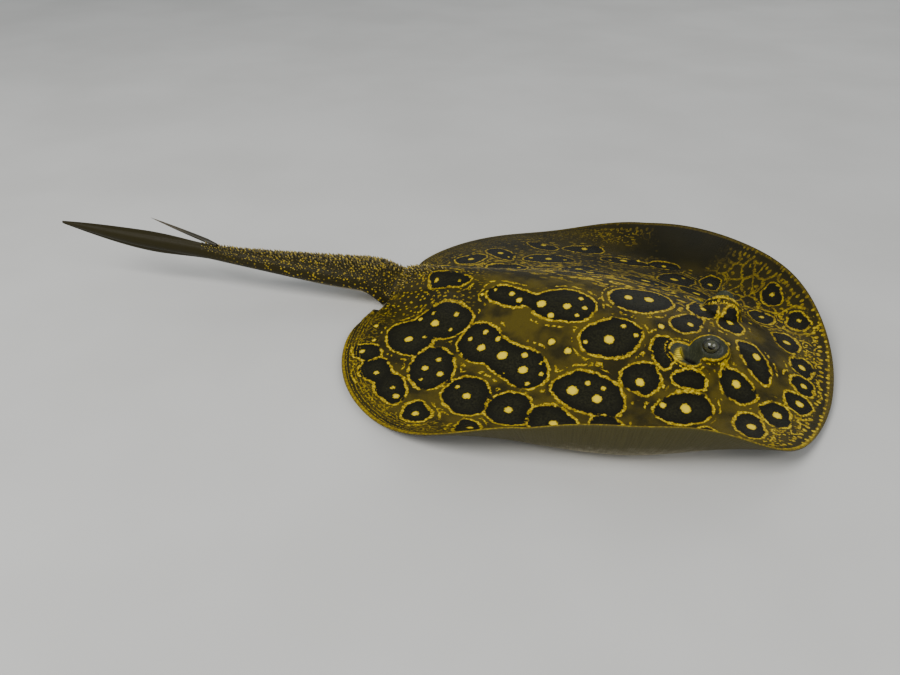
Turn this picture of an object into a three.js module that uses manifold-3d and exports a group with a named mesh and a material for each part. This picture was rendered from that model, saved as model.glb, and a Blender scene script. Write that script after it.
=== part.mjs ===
// A freshwater stingray, life size, lying on its belly with the edge of its right wing curled up.
// Millimetres. The snout points to +X, the ray's left side is +Y and up is +Z.
// The origin is on the floor under the middle of the disc, where the belly rests.

import * as THREE from 'three';
import { mergeVertices } from 'three/addons/utils/BufferGeometryUtils.js';
import Module from 'manifold-3d';

const wasm = await Module();
wasm.setup();

// Driving dimensions

const gap = 0.3; // clearance between neighbouring pieces
const edgeThickness = 1.8; // wing margin

const disc = {
  front: 217, // snout edge ahead of the origin
  rear: 229, // rear lobes behind the origin
  halfWidth: 230, // each wing, laid flat
  frontPower: 2.3, // 2 is an ellipse, more is squarer
  rearPower: 2.45,
  snoutPoint: 3, // how far the tip of the snout juts out
  notchDepth: 27, // notch between the rear lobes, where the tail starts
  notchSpread: 10, // degrees
  lastAngle: 176, // degrees from the snout, where the margin meets the tail's side
};

// The margin's rise off the floor: a resting height and two waves, by angle from the snout
const marginRest = 5;
const waves = [
  { angle: -68, spread: 35, power: 3, height: 54 }, // right wing, the high curl
  { angle: 58, spread: 44, power: 4, height: 41 }, // left wing, the long low wave
];
const curlStart = 0.69; // share of the way out where a wave leaves the floor
const curlPower = 1.7;
const curlPull = 0.0069; // a raised margin draws in by this times its height squared

const body = {
  finRoot: 25, // wing thickness where it joins the trunk
  height: 57, // top of the back
  peakX: -20,
  headReach: 243, // from the highest point to where the snout's ridge ends
  headPower: 2.5,
  rootHeight: 43, // top of the back at the tail's root
  halfWidth: 84, // trunk ridge
  rootHalfWidth: 25,
  snoutHalfWidth: 50,
};

const eye = { x: 113, y: 43.5, z: 49.5, radius: 8 };
const orbit = { x: 113, y: 38.5, z: 38.5, length: 18, width: 13.5, height: 17.5 }; // half sizes
const spiracle = { x: 98, y: 51, z: 46, length: 9.8, width: 7, height: 16, turn: 24 }; // half sizes

const tailLine = [ // middle of the tail, from its root to its tip
  [-203, 0, 26], [-238, -10, 29], [-276, -24, 33], [-368, -56, 45], [-428, -69, 51], [-486, -84, 58],
  [-563, -99, 68],
];
const tail = {
  rootWidth: 52,
  rootHeight: 34,
  waist: 0.62, // share of the length where the blade-like end begins
  bladeWidth: 11,
  bladeHeight: 15,
  foldHeight: 4.5, // fin folds above and below the blade
  foldStart: 0.5,
  taperStart: 0.72,
  tipSize: 0.12,
  rise: 46, // length over which the flat belly turns into the round tail
};

const sting = {
  base: [-396, -61, 58], tip: [-484, -51, 67.5], width: 6.5, thickness: 4, rootDepth: 6,
};

const pelvic = { // quarter fans under the rear lobes
  rootFront: -152, rootRear: -212, rootY: 34, reach: 62, rearReach: 20, thickness: 3.6, bevel: 0.8,
};

// The belly sheet rises by this much from ahead of the pelvic fins to over them
const finRoom = { height: 5.2, fromX: -118, toX: -146, fromY: 22, toY: 30 };

const girdle = { // where the body is parted
  headRear: 62, trunkRear: -213, tailMiddle: -332, tailTip: -452,
  headFrontHalf: 24, trunkHalf: 66, rootHalf: 27, notchX: -203, notchFlare: 1,
};

const skinColours = { back: '#3a3018', belly: '#b3a88c', tail: '#2a2417', eye: '#1a1712', sting: '#8d7d5c' };

const degrees = Math.PI / 180;
const lerp = THREE.MathUtils.lerp;
const clamp = THREE.MathUtils.clamp;
const smooth = (value, low, high) => THREE.MathUtils.smoothstep(value, low, high);
const bell = (value, spread, power) => Math.exp(-(Math.abs(value / spread) ** power));

// The disc's outline. An angle is counted from the snout, positive towards the ray's left.

function outline(angle) {
  const along = Math.cos(angle);
  const across = Math.sin(angle);
  const power = along > 0 ? disc.frontPower : disc.rearPower;
  const reach = along > 0 ? disc.front : disc.rear;
  let x = reach * Math.sign(along) * Math.abs(along) ** (2 / power);
  const y = disc.halfWidth * Math.sign(across) * Math.abs(across) ** (2 / power);
  x += disc.snoutPoint * bell(angle / degrees, 14, 2);
  x += disc.notchDepth * bell(180 - Math.abs(angle) / degrees, disc.notchSpread, 2);
  return { x, y };
}

// Where a flat point lies: its angle, and its share of the way from the middle to the margin.

function polar(x, y) {
  const power = x > 0 ? disc.frontPower : disc.rearPower;
  const reach = x > 0 ? disc.front : disc.rear;
  const along = Math.abs(x / reach) ** (power / 2);
  const across = Math.abs(y / disc.halfWidth) ** (power / 2);
  const angle = Math.atan2(across * Math.sign(y || 1), along * Math.sign(x || 1));
  return { angle, share: Math.min(1, Math.hypot(along, across) ** (2 / power)) };
}

function marginRise(angle) {
  let rise = marginRest;
  for (const wave of waves) {
    rise += wave.height * bell(angle / degrees - wave.angle, wave.spread, wave.power);
  }
  return rise;
}

// The belly sheet over a flat point: where the point goes, and which way its skin faces.

function belly(x, y) {
  const { angle, share } = polar(x, y);
  const rise = marginRise(angle);
  const reach = Math.hypot(x, y) || 1;
  const edge = reach / Math.max(share, 0.01);
  const bend = clamp((share - curlStart) / (1 - curlStart), 0, 1);
  const pull = curlPull * rise * rise * bend ** 1.5;
  const run = (1 - curlStart) * edge - curlPull * rise * rise;
  const slope = Math.atan2(rise * curlPower * bend ** (curlPower - 1), run);
  const out = [x / reach, y / reach];
  const overFins = smooth(-x, -finRoom.fromX, -finRoom.toX)
    * smooth(Math.abs(y), finRoom.fromY, finRoom.toY) * (1 - bend);
  return {
    point: [x - out[0] * pull, y - out[1] * pull, rise * bend ** curlPower + finRoom.height * overFins],
    facing: [-Math.sin(slope) * out[0], -Math.sin(slope) * out[1], Math.cos(slope)],
    share,
  };
}

function backHeight(x) {
  if (x > body.peakX) {
    const ahead = Math.min(1, (x - body.peakX) / body.headReach);
    return body.height * (1 - ahead ** body.headPower);
  }
  const behind = (body.peakX - x) / (body.peakX + disc.rear - disc.notchDepth);
  return lerp(body.height, body.rootHeight, Math.min(1, behind) ** 1.6);
}

function ridgeHalfWidth(x) {
  const rear = body.rootHalfWidth - body.halfWidth;
  const front = body.snoutHalfWidth - body.halfWidth;
  return body.halfWidth + rear * smooth(20 - x, 0, 240) + front * smooth(x - 20, 20, 220);
}

// Thickness of the body over a flat point: a wing that thins to its margin, and the trunk's ridge.

function thickness(x, y, share) {
  const wing = edgeThickness + body.finRoot * Math.max(0, 1 - share ** 1.8) ** 1.1;
  const ridge = Math.max(0, backHeight(x) - wing) * bell(y, ridgeHalfWidth(x), 2.3);
  return wing + ridge * (1 - share ** 14);
}

// Points of one closed loop round the body, right margin over the back to the left, and back below.

const overSteps = 24;
const underSteps = 8;

function spreadOver(steps, roundness) {
  const places = [];
  for (let i = 0; i <= steps; i += 1) {
    const even = 2 * (i / steps) - 1;
    places.push(lerp(even, Math.sin(even * Math.PI / 2), roundness));
  }
  return places;
}

function discLoop(angle) {
  const margin = outline(angle);
  const sweep = clamp((angle / degrees - 85) / (disc.lastAngle - 85), 0, 1);
  const rootX = outline(disc.lastAngle * degrees).x;
  const middleX = angle / degrees < 85 ? margin.x : lerp(outline(85 * degrees).x, rootX, sweep);
  const flat = (place) => [lerp(middleX, margin.x, place * place), margin.y * place];
  const top = spreadOver(overSteps, 0.4).map((place) => {
    const [x, y] = flat(place);
    const sheet = belly(x, y);
    const thick = thickness(x, y, sheet.share);
    return sheet.point.map((value, axis) => value + sheet.facing[axis] * thick);
  });
  const under = spreadOver(underSteps, 0.4).map((place) => belly(...flat(place)).point);
  return [...top, ...under.reverse()];
}

const tailPoints = tailLine.map((place) => new THREE.Vector3(...place));
const tailCurve = new THREE.CatmullRomCurve3(tailPoints, false, 'centripetal');

function tailSize(along) {
  const toBlade = smooth(along, 0, tail.waist);
  const toTip = lerp(1, tail.tipSize, Math.max(0, (along - tail.taperStart) / (1 - tail.taperStart)) ** 1.6);
  return {
    width: lerp(tail.rootWidth, tail.bladeWidth, toBlade) * toTip,
    height: lerp(tail.rootHeight, tail.bladeHeight, toBlade) * toTip,
    fold: tail.foldHeight * smooth(along, tail.foldStart, tail.taperStart) * toTip,
  };
}

function tailLoop(along) {
  const middle = tailCurve.getPointAt(along);
  const ahead = tailCurve.getTangentAt(along);
  const side = new THREE.Vector3(ahead.y, -ahead.x, 0).normalize(); // towards the ray's left
  const { width, height, fold } = tailSize(along);
  const round = smooth(along * tailCurve.getLength(), 0, tail.rise);
  const loop = (steps, up) => spreadOver(steps, 1).map((place) => {
    const level = Math.sqrt(Math.max(0, 1 - place * place));
    const rib = fold * bell(place, 0.3, 2);
    const roundZ = middle.z + up * (height / 2 * level + rib);
    const flatZ = up > 0 ? lerp(marginRest + edgeThickness, middle.z + height / 2, level ** 0.9) : 0;
    const offset = width / 2 * place;
    return [middle.x + side.x * offset, middle.y + side.y * offset, lerp(flatZ, roundZ, round)];
  });
  return [...loop(overSteps, 1), ...loop(underSteps, -1).reverse()];
}

// A closed solid through a row of loops, with a point at each end.

function loft(loops, firstPoint, lastPoint) {
  const count = loops[0].length;
  const points = [...loops.flat(), firstPoint, lastPoint];
  const first = points.length - 2;
  const last = points.length - 1;
  const faces = [];
  for (let j = 0; j < count; j += 1) {
    const next = (j + 1) % count;
    faces.push(first, next, j);
    faces.push(last, (loops.length - 1) * count + j, (loops.length - 1) * count + next);
    for (let i = 0; i + 1 < loops.length; i += 1) {
      const here = i * count;
      const beyond = here + count;
      faces.push(here + j, here + next, beyond + j);
      faces.push(here + next, beyond + next, beyond + j);
    }
  }
  return meshGeometry(points, faces);
}

function meshGeometry(points, faces) {
  const geometry = new THREE.BufferGeometry();
  geometry.setAttribute('position', new THREE.Float32BufferAttribute(points.flat(), 3));
  geometry.setIndex(faces);
  return geometry;
}

// Solids for joining and cutting

function solid(geometry) {
  const bare = geometry.clone();
  bare.deleteAttribute('normal');
  bare.deleteAttribute('uv');
  const merged = mergeVertices(bare, 1e-4);
  const made = new wasm.Manifold(new wasm.Mesh({
    numProp: 3,
    vertProperties: merged.attributes.position.array,
    triVerts: new Uint32Array(merged.index.array),
  }));
  if (made.volume() > 0) return made;
  const turned = merged.index.array;
  for (let i = 0; i < turned.length; i += 3) [turned[i], turned[i + 1]] = [turned[i + 1], turned[i]];
  return new wasm.Manifold(new wasm.Mesh({
    numProp: 3, vertProperties: merged.attributes.position.array, triVerts: new Uint32Array(turned),
  }));
}

function geometryOf(manifold) {
  const mesh = manifold.getMesh();
  const geometry = new THREE.BufferGeometry();
  geometry.setAttribute('position', new THREE.BufferAttribute(new Float32Array(mesh.vertProperties), 3));
  geometry.setIndex(new THREE.BufferAttribute(new Uint32Array(mesh.triVerts), 1));
  return geometry;
}

// An upright block over an outline in plan, used to part the body
function block(outlinePoints) {
  const shape = new THREE.Shape(outlinePoints.map(([x, y]) => new THREE.Vector2(x, y)));
  const geometry = new THREE.ExtrudeGeometry(shape, { depth: 160, bevelEnabled: false });
  return solid(geometry.translate(0, 0, -20));
}

function ball({ x, y, z, length, width, height, turn = 0 }, grow = 0) {
  const geometry = new THREE.SphereGeometry(1, 16, 10);
  geometry.scale(length + grow, width + grow, height + grow);
  geometry.rotateZ(turn * degrees);
  return geometry.translate(x, y, z);
}

// The whole body, before it is parted

const discSteps = 44;
const tailSteps = 24; // set a little closer together near the body

function wholeBody() {
  const loops = [];
  for (let i = 1; i <= discSteps; i += 1) {
    loops.push(discLoop(disc.lastAngle * degrees * i / discSteps));
  }
  for (let i = 1; i < tailSteps; i += 1) loops.push(tailLoop((i / tailSteps) ** 1.1));
  const snout = outline(0);
  const tip = tailLine.at(-1);
  return solid(loft(loops, [snout.x, 0, marginRise(0)], tip));
}

function withSides(make) {
  return [make(1), make(-1)];
}

let whole = wholeBody();
for (const knob of withSides((side) => solid(ball({ ...orbit, y: side * orbit.y })))) whole = whole.add(knob);
for (const hole of withSides((side) => solid(ball({
  ...spiracle, y: side * spiracle.y, turn: side * spiracle.turn,
})))) whole = whole.subtract(hole);

// The plan of the head and trunk inside the wings

function bodyHalfWidth(x) {
  if (x > girdle.headRear) {
    return lerp(girdle.trunkHalf, girdle.headFrontHalf, smooth(x, girdle.headRear, disc.front));
  }
  if (x > girdle.notchX) {
    return lerp(girdle.trunkHalf, girdle.rootHalf, smooth(-x, -girdle.headRear, 190));
  }
  return girdle.rootHalf + girdle.notchFlare * (girdle.notchX - x);
}

// Its edge is straight between stations, so that neighbouring blocks share one line
const station = 12;

function sideLine(fromX, toX, side, clear) {
  const stations = [fromX];
  for (let n = Math.floor(fromX / station) + 1; n * station < toX; n += 1) stations.push(n * station);
  stations.push(toX);
  return stations.map((x) => {
    const before = Math.floor(x / station) * station;
    const halfWidth = lerp(bodyHalfWidth(before), bodyHalfWidth(before + station), (x - before) / station);
    return [x, side * (halfWidth + clear)];
  });
}

function midBlock(fromX, toX) {
  return block([...sideLine(fromX, toX, 1, 0), ...sideLine(fromX, toX, -1, 0).reverse()]);
}

const pastSnout = disc.front + 20;
const pastLobes = -disc.rear - 8;
const pastWings = disc.halfWidth + 30;

function wingBlock(side) {
  const line = sideLine(pastLobes, pastSnout, side, gap);
  return block([...line, [pastSnout, side * pastWings], [pastLobes, side * pastWings]]);
}

// The room beside the tail's root, where the rear lobes lie
function lobeBlock(side) {
  const line = sideLine(pastLobes - gap, girdle.trunkRear, side, 0);
  return block([...line, [girdle.trunkRear, side * pastWings], [pastLobes - gap, side * pastWings]]);
}

function slab(fromX, toX) {
  return block([[fromX, -pastWings], [toX, -pastWings], [toX, pastWings], [fromX, pastWings]]);
}

// Small pieces

function stingGeometry(grow = 0) {
  const base = new THREE.Vector3(...sting.base);
  const tip = new THREE.Vector3(...sting.tip);
  const along = tip.clone().sub(base).normalize();
  const side = new THREE.Vector3(along.y, -along.x, 0).normalize();
  const up = new THREE.Vector3().crossVectors(side, along).normalize();
  if (up.z < 0) up.negate();
  const start = base.clone().addScaledVector(along, -sting.rootDepth - grow);
  const length = base.distanceTo(tip) + sting.rootDepth;
  const least = 0.25; // half the thickness at its point
  const loops = [0.02, 0.12, 0.3, 0.5, 0.7, 0.86, 0.96].map((share) => {
    const slim = (1 - share ** 2.2) * Math.min(1, 0.55 + share * 3);
    const middle = start.clone().addScaledVector(along, share * length);
    return [0, 1, 2, 3, 4, 5, 6, 7].map((step) => {
      const turn = step * Math.PI / 4;
      const point = middle.clone()
        .addScaledVector(side, (sting.width / 2 * slim + least + grow) * Math.cos(turn))
        .addScaledVector(up, (sting.thickness / 2 * slim + least + grow) * Math.sin(turn));
      return point.toArray();
    });
  });
  return loft(loops, start.toArray(), tip.clone().addScaledVector(along, grow).toArray());
}

function pelvicGeometry(side, grow = 0) {
  const rim = [];
  const fanSteps = 12;
  for (let i = 0; i <= fanSteps; i += 1) {
    const turn = lerp(0, 90, i / fanSteps) * degrees;
    rim.push([
      pelvic.rootFront - (pelvic.rootFront - pelvic.rootRear + pelvic.rearReach) * Math.sin(turn),
      pelvic.rootY + pelvic.reach * Math.cos(turn) ** 0.8,
    ]);
  }
  const corners = [[pelvic.rootFront, pelvic.rootY], ...rim, [pelvic.rootRear, pelvic.rootY - 3]];
  const shape = new THREE.Shape(corners.map(([x, y]) => new THREE.Vector2(x, side * y)));
  return new THREE.ExtrudeGeometry(shape, {
    depth: pelvic.thickness - 2 * pelvic.bevel + grow,
    bevelThickness: pelvic.bevel, bevelSize: pelvic.bevel, bevelOffset: grow - pelvic.bevel, bevelSegments: 1,
  }).translate(0, 0, pelvic.bevel);
}

// Part the body and name its pieces

const stingHole = solid(stingGeometry(gap));
const sockets = withSides((side) => solid(ball({
  ...eye, y: side * eye.y, length: eye.radius, width: eye.radius, height: eye.radius,
}, gap)));

const pieces = new THREE.Group();

function add(name, manifold, colour, roughness) {
  const material = new THREE.MeshStandardMaterial({ color: colour, roughness, metalness: 0 });
  const mesh = new THREE.Mesh(geometryOf(manifold), material);
  mesh.name = name;
  pieces.add(mesh);
}

const half = gap / 2;
let head = whole.intersect(midBlock(girdle.headRear + half, pastSnout));
for (const socket of sockets) head = head.subtract(socket);
add('head', head, skinColours.back, 0.45);
for (const room of withSides((side) => solid(pelvicGeometry(side, gap)))) whole = whole.subtract(room);
add('trunk', whole.intersect(midBlock(girdle.trunkRear + half, girdle.headRear - half)), skinColours.back, 0.45);
add('pectoral_fin_left', whole.intersect(wingBlock(1)), skinColours.back, 0.45);
add('pectoral_fin_right', whole.intersect(wingBlock(-1)), skinColours.back, 0.45);

const tailWhole = whole.subtract(stingHole);
let tailBase = tailWhole.intersect(slab(girdle.tailMiddle + half, girdle.trunkRear - half));
for (const lobe of withSides(lobeBlock)) tailBase = tailBase.subtract(lobe);
const tailMiddle = tailWhole.intersect(slab(girdle.tailTip + half, girdle.tailMiddle - half));
add('tail_base', tailBase, skinColours.tail, 0.6);
add('tail_middle', tailMiddle, skinColours.tail, 0.6);
add('tail_tip', tailWhole.intersect(slab(tailLine.at(-1)[0] - 20, girdle.tailTip - half)), skinColours.tail, 0.5);

add('pelvic_fin_left', solid(pelvicGeometry(1)), skinColours.back, 0.5);
add('pelvic_fin_right', solid(pelvicGeometry(-1)), skinColours.back, 0.5);
add('sting', solid(stingGeometry()), skinColours.sting, 0.4);
['left', 'right'].forEach((name, index) => {
  const side = index === 0 ? 1 : -1;
  const { radius } = eye;
  const globe = ball({ ...eye, y: side * eye.y, length: radius, width: radius, height: radius });
  add(`eye_${name}`, solid(globe), skinColours.eye, 0.12);
});

export default pieces;
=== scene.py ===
import math
import random

import bmesh
import bpy
import numpy as np
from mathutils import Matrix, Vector
from mathutils.bvhtree import BVHTree


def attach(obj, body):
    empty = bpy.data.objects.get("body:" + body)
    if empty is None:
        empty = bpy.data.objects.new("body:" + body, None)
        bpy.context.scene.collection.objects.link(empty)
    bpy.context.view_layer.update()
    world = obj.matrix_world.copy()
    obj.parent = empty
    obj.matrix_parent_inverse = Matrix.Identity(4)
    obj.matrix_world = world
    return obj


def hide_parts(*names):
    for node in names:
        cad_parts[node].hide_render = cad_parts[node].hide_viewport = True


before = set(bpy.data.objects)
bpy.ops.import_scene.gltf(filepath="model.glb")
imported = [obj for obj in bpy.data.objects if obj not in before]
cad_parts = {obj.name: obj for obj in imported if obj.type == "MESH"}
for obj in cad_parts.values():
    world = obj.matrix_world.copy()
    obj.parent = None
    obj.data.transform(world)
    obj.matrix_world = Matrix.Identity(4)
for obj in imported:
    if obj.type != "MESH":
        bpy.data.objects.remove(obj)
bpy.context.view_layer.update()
print("frame loaded, nodes:", ", ".join(sorted(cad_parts)))

mm = 0.001
degree = math.pi / 180


def bell(value, spread, power):
    return np.exp(-np.abs(value / spread) ** power)


def smooth(value, low, high):
    t = np.clip((value - low) / (high - low), 0, 1)
    return t * t * (3 - 2 * t)


def lerp(a, b, t):
    return a + (b - a) * t


def softMax(a, b, width):
    t = np.clip(0.5 + 0.5 * (a - b) / width, 0, 1)
    return lerp(b, a, t) + width * t * (1 - t)


def softMin(a, b, width):
    return -softMax(-a, -b, width)


def spaced(low, high, spacing):
    # places from low to high, packed by a spacing that changes on the way
    fine = np.linspace(low, high, 4000)
    need = np.concatenate([[0], np.cumsum(np.diff(fine) / spacing((fine[1:] + fine[:-1]) / 2))])
    return np.interp(np.linspace(0, need[-1], int(round(need[-1])) + 1), need, fine)


# The body's own form, in millimetres, the same as the solids

disc = {
    "front": 217, "rear": 229, "halfWidth": 230,
    "frontPower": 2.3, "rearPower": 2.45,
    "snoutPoint": 3,
    "notchDepth": 27, "notchSpread": 10,
    "lastAngle": 176,  # where the margin meets the tail's side
    "edge": 1.8,  # thickness of the margin
}

curl = {
    "rest": 5, "start": 0.69, "power": 1.7, "pull": 0.0069,
    "waves": [(-68, 35, 3, 54), (58, 44, 4, 41)],  # angle, spread, power, height
}

back = {
    "finRoot": 25, "height": 57, "peakX": -20, "headReach": 243, "headPower": 2.5,
    "rootHeight": 43, "halfWidth": 84, "rootHalfWidth": 25, "snoutHalfWidth": 50,
}

finRoom = {"height": 5.2, "fromX": -118, "toX": -146, "fromY": 22, "toY": 30}


def outline(angle):
    along, across = np.cos(angle), np.sin(angle)
    ahead = along > 0
    power = np.where(ahead, disc["frontPower"], disc["rearPower"])
    reach = np.where(ahead, disc["front"], disc["rear"])
    x = reach * np.sign(along) * np.abs(along) ** (2 / power)
    y = disc["halfWidth"] * np.sign(across) * np.abs(across) ** (2 / power)
    x = x + disc["snoutPoint"] * bell(angle / degree, 14, 2)
    x = x + disc["notchDepth"] * bell(180 - np.abs(angle) / degree, disc["notchSpread"], 2)
    return x, y


def polar(x, y):
    ahead = x > 0
    power = np.where(ahead, disc["frontPower"], disc["rearPower"])
    reach = np.where(ahead, disc["front"], disc["rear"])
    along = np.abs(x / reach) ** (power / 2)
    across = np.abs(y / disc["halfWidth"]) ** (power / 2)
    angle = np.arctan2(across * np.where(y < 0, -1, 1), along * np.where(x < 0, -1, 1))
    return angle, np.minimum(1, np.hypot(along, across) ** (2 / power))


def marginRise(angle):
    rise = curl["rest"] + 0 * angle
    for place, spread, power, height in curl["waves"]:
        rise = rise + height * bell(angle / degree - place, spread, power)
    return rise


def bellySheet(x, y):
    angle, share = polar(x, y)
    rise = marginRise(angle)
    reach = np.maximum(np.hypot(x, y), 1e-6)
    edge = reach / np.maximum(share, 0.01)
    bend = np.clip((share - curl["start"]) / (1 - curl["start"]), 0, 1)
    pull = curl["pull"] * rise * rise * bend ** 1.5
    run = (1 - curl["start"]) * edge - curl["pull"] * rise * rise
    slope = np.arctan2(rise * curl["power"] * bend ** (curl["power"] - 1), run)
    outX, outY = x / reach, y / reach
    room = smooth(-x, -finRoom["fromX"], -finRoom["toX"])
    room = room * smooth(np.abs(y), finRoom["fromY"], finRoom["toY"]) * (1 - bend)
    lift = rise * bend ** curl["power"] + finRoom["height"] * room
    point = np.stack([x - outX * pull, y - outY * pull, lift], -1)
    facing = np.stack([-np.sin(slope) * outX, -np.sin(slope) * outY, np.cos(slope)], -1)
    return point, facing, share, angle


def backHeight(x):
    ahead = np.clip((x - back["peakX"]) / back["headReach"], 0, 1)
    front = back["height"] * (1 - ahead ** back["headPower"])
    rootX = back["peakX"] + disc["rear"] - disc["notchDepth"]
    behind = np.clip((back["peakX"] - x) / rootX, 0, 1)
    rear = lerp(back["height"], back["rootHeight"], behind ** 1.6)
    return np.where(x > back["peakX"], front, rear)


def ridgeHalfWidth(x):
    rear = (back["rootHalfWidth"] - back["halfWidth"]) * smooth(20 - x, 0, 240)
    front = (back["snoutHalfWidth"] - back["halfWidth"]) * smooth(x - 20, 20, 220)
    return back["halfWidth"] + rear + front


def bodyThickness(x, y, share):
    wing = disc["edge"] + back["finRoot"] * np.maximum(0, 1 - share ** 1.8) ** 1.1
    ridge = np.maximum(0, backHeight(x) - wing) * bell(y, ridgeHalfWidth(x), 2.3)
    return wing + ridge * (1 - share ** 14)


# Eyes stand in raised orbits; a spiracle opens behind each

farAway = 40.0  # stands for "no mark near", in millimetres

eye = {
    "x": 113, "y": 43.5, "z": 49.5, "radius": 8,
    "gaze": (0.14, 0.9, 0.36),  # for the left eye
    "zone": (14.5, 10.5, 9.5), "zoneShift": (0, 1, -1.5), "zoneScale": 11,  # the smooth grey lids
}
lids = {
    "openWide": 66, "openHigh": 50,  # half angles of the gap between the lids, in degrees
    "thickness": 0.8, "roll": 0.5, "fold": 0.35, "inset": 1.5, "blend": 1.4, "reach": 19,
    "edge": (0.95, 1.08), "rollAt": 1.2, "foldAt": 1.62, "end": 1.9, "wetAt": 1.03,  # shares of the gap
}
orbit = {"x": 113, "y": 38.5, "z": 38.5, "length": 18, "width": 13.5, "height": 17.5, "blend": 3.5}
spiracle = {
    "x": 98, "y": 51, "z": 46, "length": 9.8, "width": 7, "height": 16, "turn": 24,
    "extraDepth": 4, "rim": 1.3, "blend": 1.6,
    "zone": (13.5, 9.5), "zoneShift": (-4, -1.5), "zoneTurn": 14,
    "wall": (4.2, 5.6), "wallShift": (-8, 1),  # the striped patch behind the hole
}
brow = {
    "dip": 2.2, "dipX": 112, "dipLength": 32, "dipWidth": 15,
    "ridge": 1.0, "ridgeY": 15, "ridgeWidth": 5, "ridgeFrom": (120, 150), "ridgeTo": (175, 205),
}


def turned(x, y, centreX, centreY, length, width, turn):
    # a place in an ellipse's own measure; its edge is at a distance of 1
    c, s = math.cos(turn * degree), math.sin(turn * degree)
    u = ((x - centreX) * c + (y - centreY) * s) / length
    v = (-(x - centreX) * s + (y - centreY) * c) / width
    return u, v


def ovalDistance(x, y, centreX, centreY, length, width, turn=0.0):
    u, v = turned(x, y, centreX, centreY, length, width, turn)
    q = np.maximum(np.hypot(u, v), 1e-4)
    return (q - 1) * q / np.maximum(np.hypot(u / length, v / width), 1e-6)


def headForms(x, y, z):
    hollow = np.zeros_like(x)
    eyeZone = np.full(x.shape, farAway)
    z = z - brow["dip"] * bell(y, brow["dipWidth"], 2) * bell(x - brow["dipX"], brow["dipLength"], 2)
    ridge = brow["ridge"] * bell(np.abs(y) - brow["ridgeY"], brow["ridgeWidth"], 2)
    z = z + ridge * smooth(x, *brow["ridgeFrom"]) * (1 - smooth(x, *brow["ridgeTo"]))
    for side in (1, -1):
        q = np.hypot((x - orbit["x"]) / orbit["length"], (y - side * orbit["y"]) / orbit["width"])
        dome = orbit["z"] + orbit["height"] * np.sqrt(np.maximum(0, 1 - q * q)) - 60 * np.maximum(0, q - 1)
        z = softMax(z, dome, orbit["blend"])
        u, v = turned(x, y, spiracle["x"], side * spiracle["y"], spiracle["length"], spiracle["width"],
                      side * spiracle["turn"])
        q = np.hypot(u, v)
        z = z + spiracle["rim"] * bell(q - 1.0, 0.2, 2) * smooth(-u, -1.1, 0.4)
        pit = spiracle["z"] - spiracle["height"] * np.sqrt(np.maximum(0, 1 - q * q))
        pit = pit - spiracle["extraDepth"] * bell(q, 0.55, 2) + 90 * np.maximum(0, q - 1)
        z = softMin(z, pit, spiracle["blend"])
        # the spiracle's pit, later painted dark as shade
        hollow = np.maximum(hollow, 1 - smooth(q, 0.45, 0.86))
        eyeZone = np.minimum(eyeZone, zoneDistance(x, y, z, side))
    return z, hollow, eyeZone


def zoneDistance(x, y, z, side):
    # how far a place is from the smooth skin of the lids and the spiracle
    shift, half = eye["zoneShift"], eye["zone"]
    away = np.stack([(x - eye["x"] - shift[0]) / half[0], (y - side * (eye["y"] + shift[1])) / half[1],
                     (z - eye["z"] - shift[2]) / half[2]])
    aroundEye = eye["zoneScale"] * (np.sqrt((away ** 2).sum(0)) - 1)
    shift = spiracle["zoneShift"]
    aroundHole = ovalDistance(x, y, spiracle["x"] + shift[0], side * (spiracle["y"] + shift[1]),
                              *spiracle["zone"], side * spiracle["zoneTurn"])
    return softMin(aroundEye, aroundHole, 4)


def gazeOf(side):
    axis = np.array(eye["gaze"], float) * (1, side, 1)
    axis /= np.linalg.norm(axis)
    along = np.array([1.0, 0, 0]) - axis * axis[0]
    along /= np.linalg.norm(along)
    upward = np.cross(along, axis) * side
    return axis, along, upward * np.sign(upward[2])


def closeLids(points):
    # skin near an eyeball is wrapped over it as lids, with a rolled rim round the gap
    wet = np.zeros(points.shape[:-1])
    for side in (1, -1):
        centre = np.array([eye["x"], side * eye["y"], eye["z"]])
        offset = points - centre
        reach = np.linalg.norm(offset, axis=-1)
        near = reach < lids["reach"]
        way = offset / np.maximum(reach, 1e-6)[..., None]
        axis, along, upward = gazeOf(side)
        angle = np.arccos(np.clip(way @ axis, -1, 1)) / degree
        turn = np.arctan2(way @ upward, way @ along)
        gap = np.hypot(angle * np.cos(turn) / lids["openWide"], angle * np.sin(turn) / lids["openHigh"])
        shut = smooth(gap, *lids["edge"])
        roll = lids["roll"] * bell(gap - lids["rollAt"], 0.16, 2)
        fold = lids["fold"] * bell(gap - lids["foldAt"], 0.1, 2)
        over = eye["radius"] + lids["thickness"] + roll - fold
        covered = softMax(reach, over, lids["blend"])
        inLids = gap < lids["end"]
        target = np.where(inLids, lerp(eye["radius"] - lids["inset"], covered, shut), reach)
        target = np.where(~inLids & (reach < over + 0.5), covered, target)
        points = np.where(near[..., None], centre + way * target[..., None], points)
        # a ring at the gap's edge: a wet gloss, and painted shade in the gap
        wet = np.maximum(wet, np.where(near, bell(gap - lids["wetAt"], 0.12, 2), 0))
    return points, wet


# Mouth, nostrils, gill slits and vent, pressed into the flat belly

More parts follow.
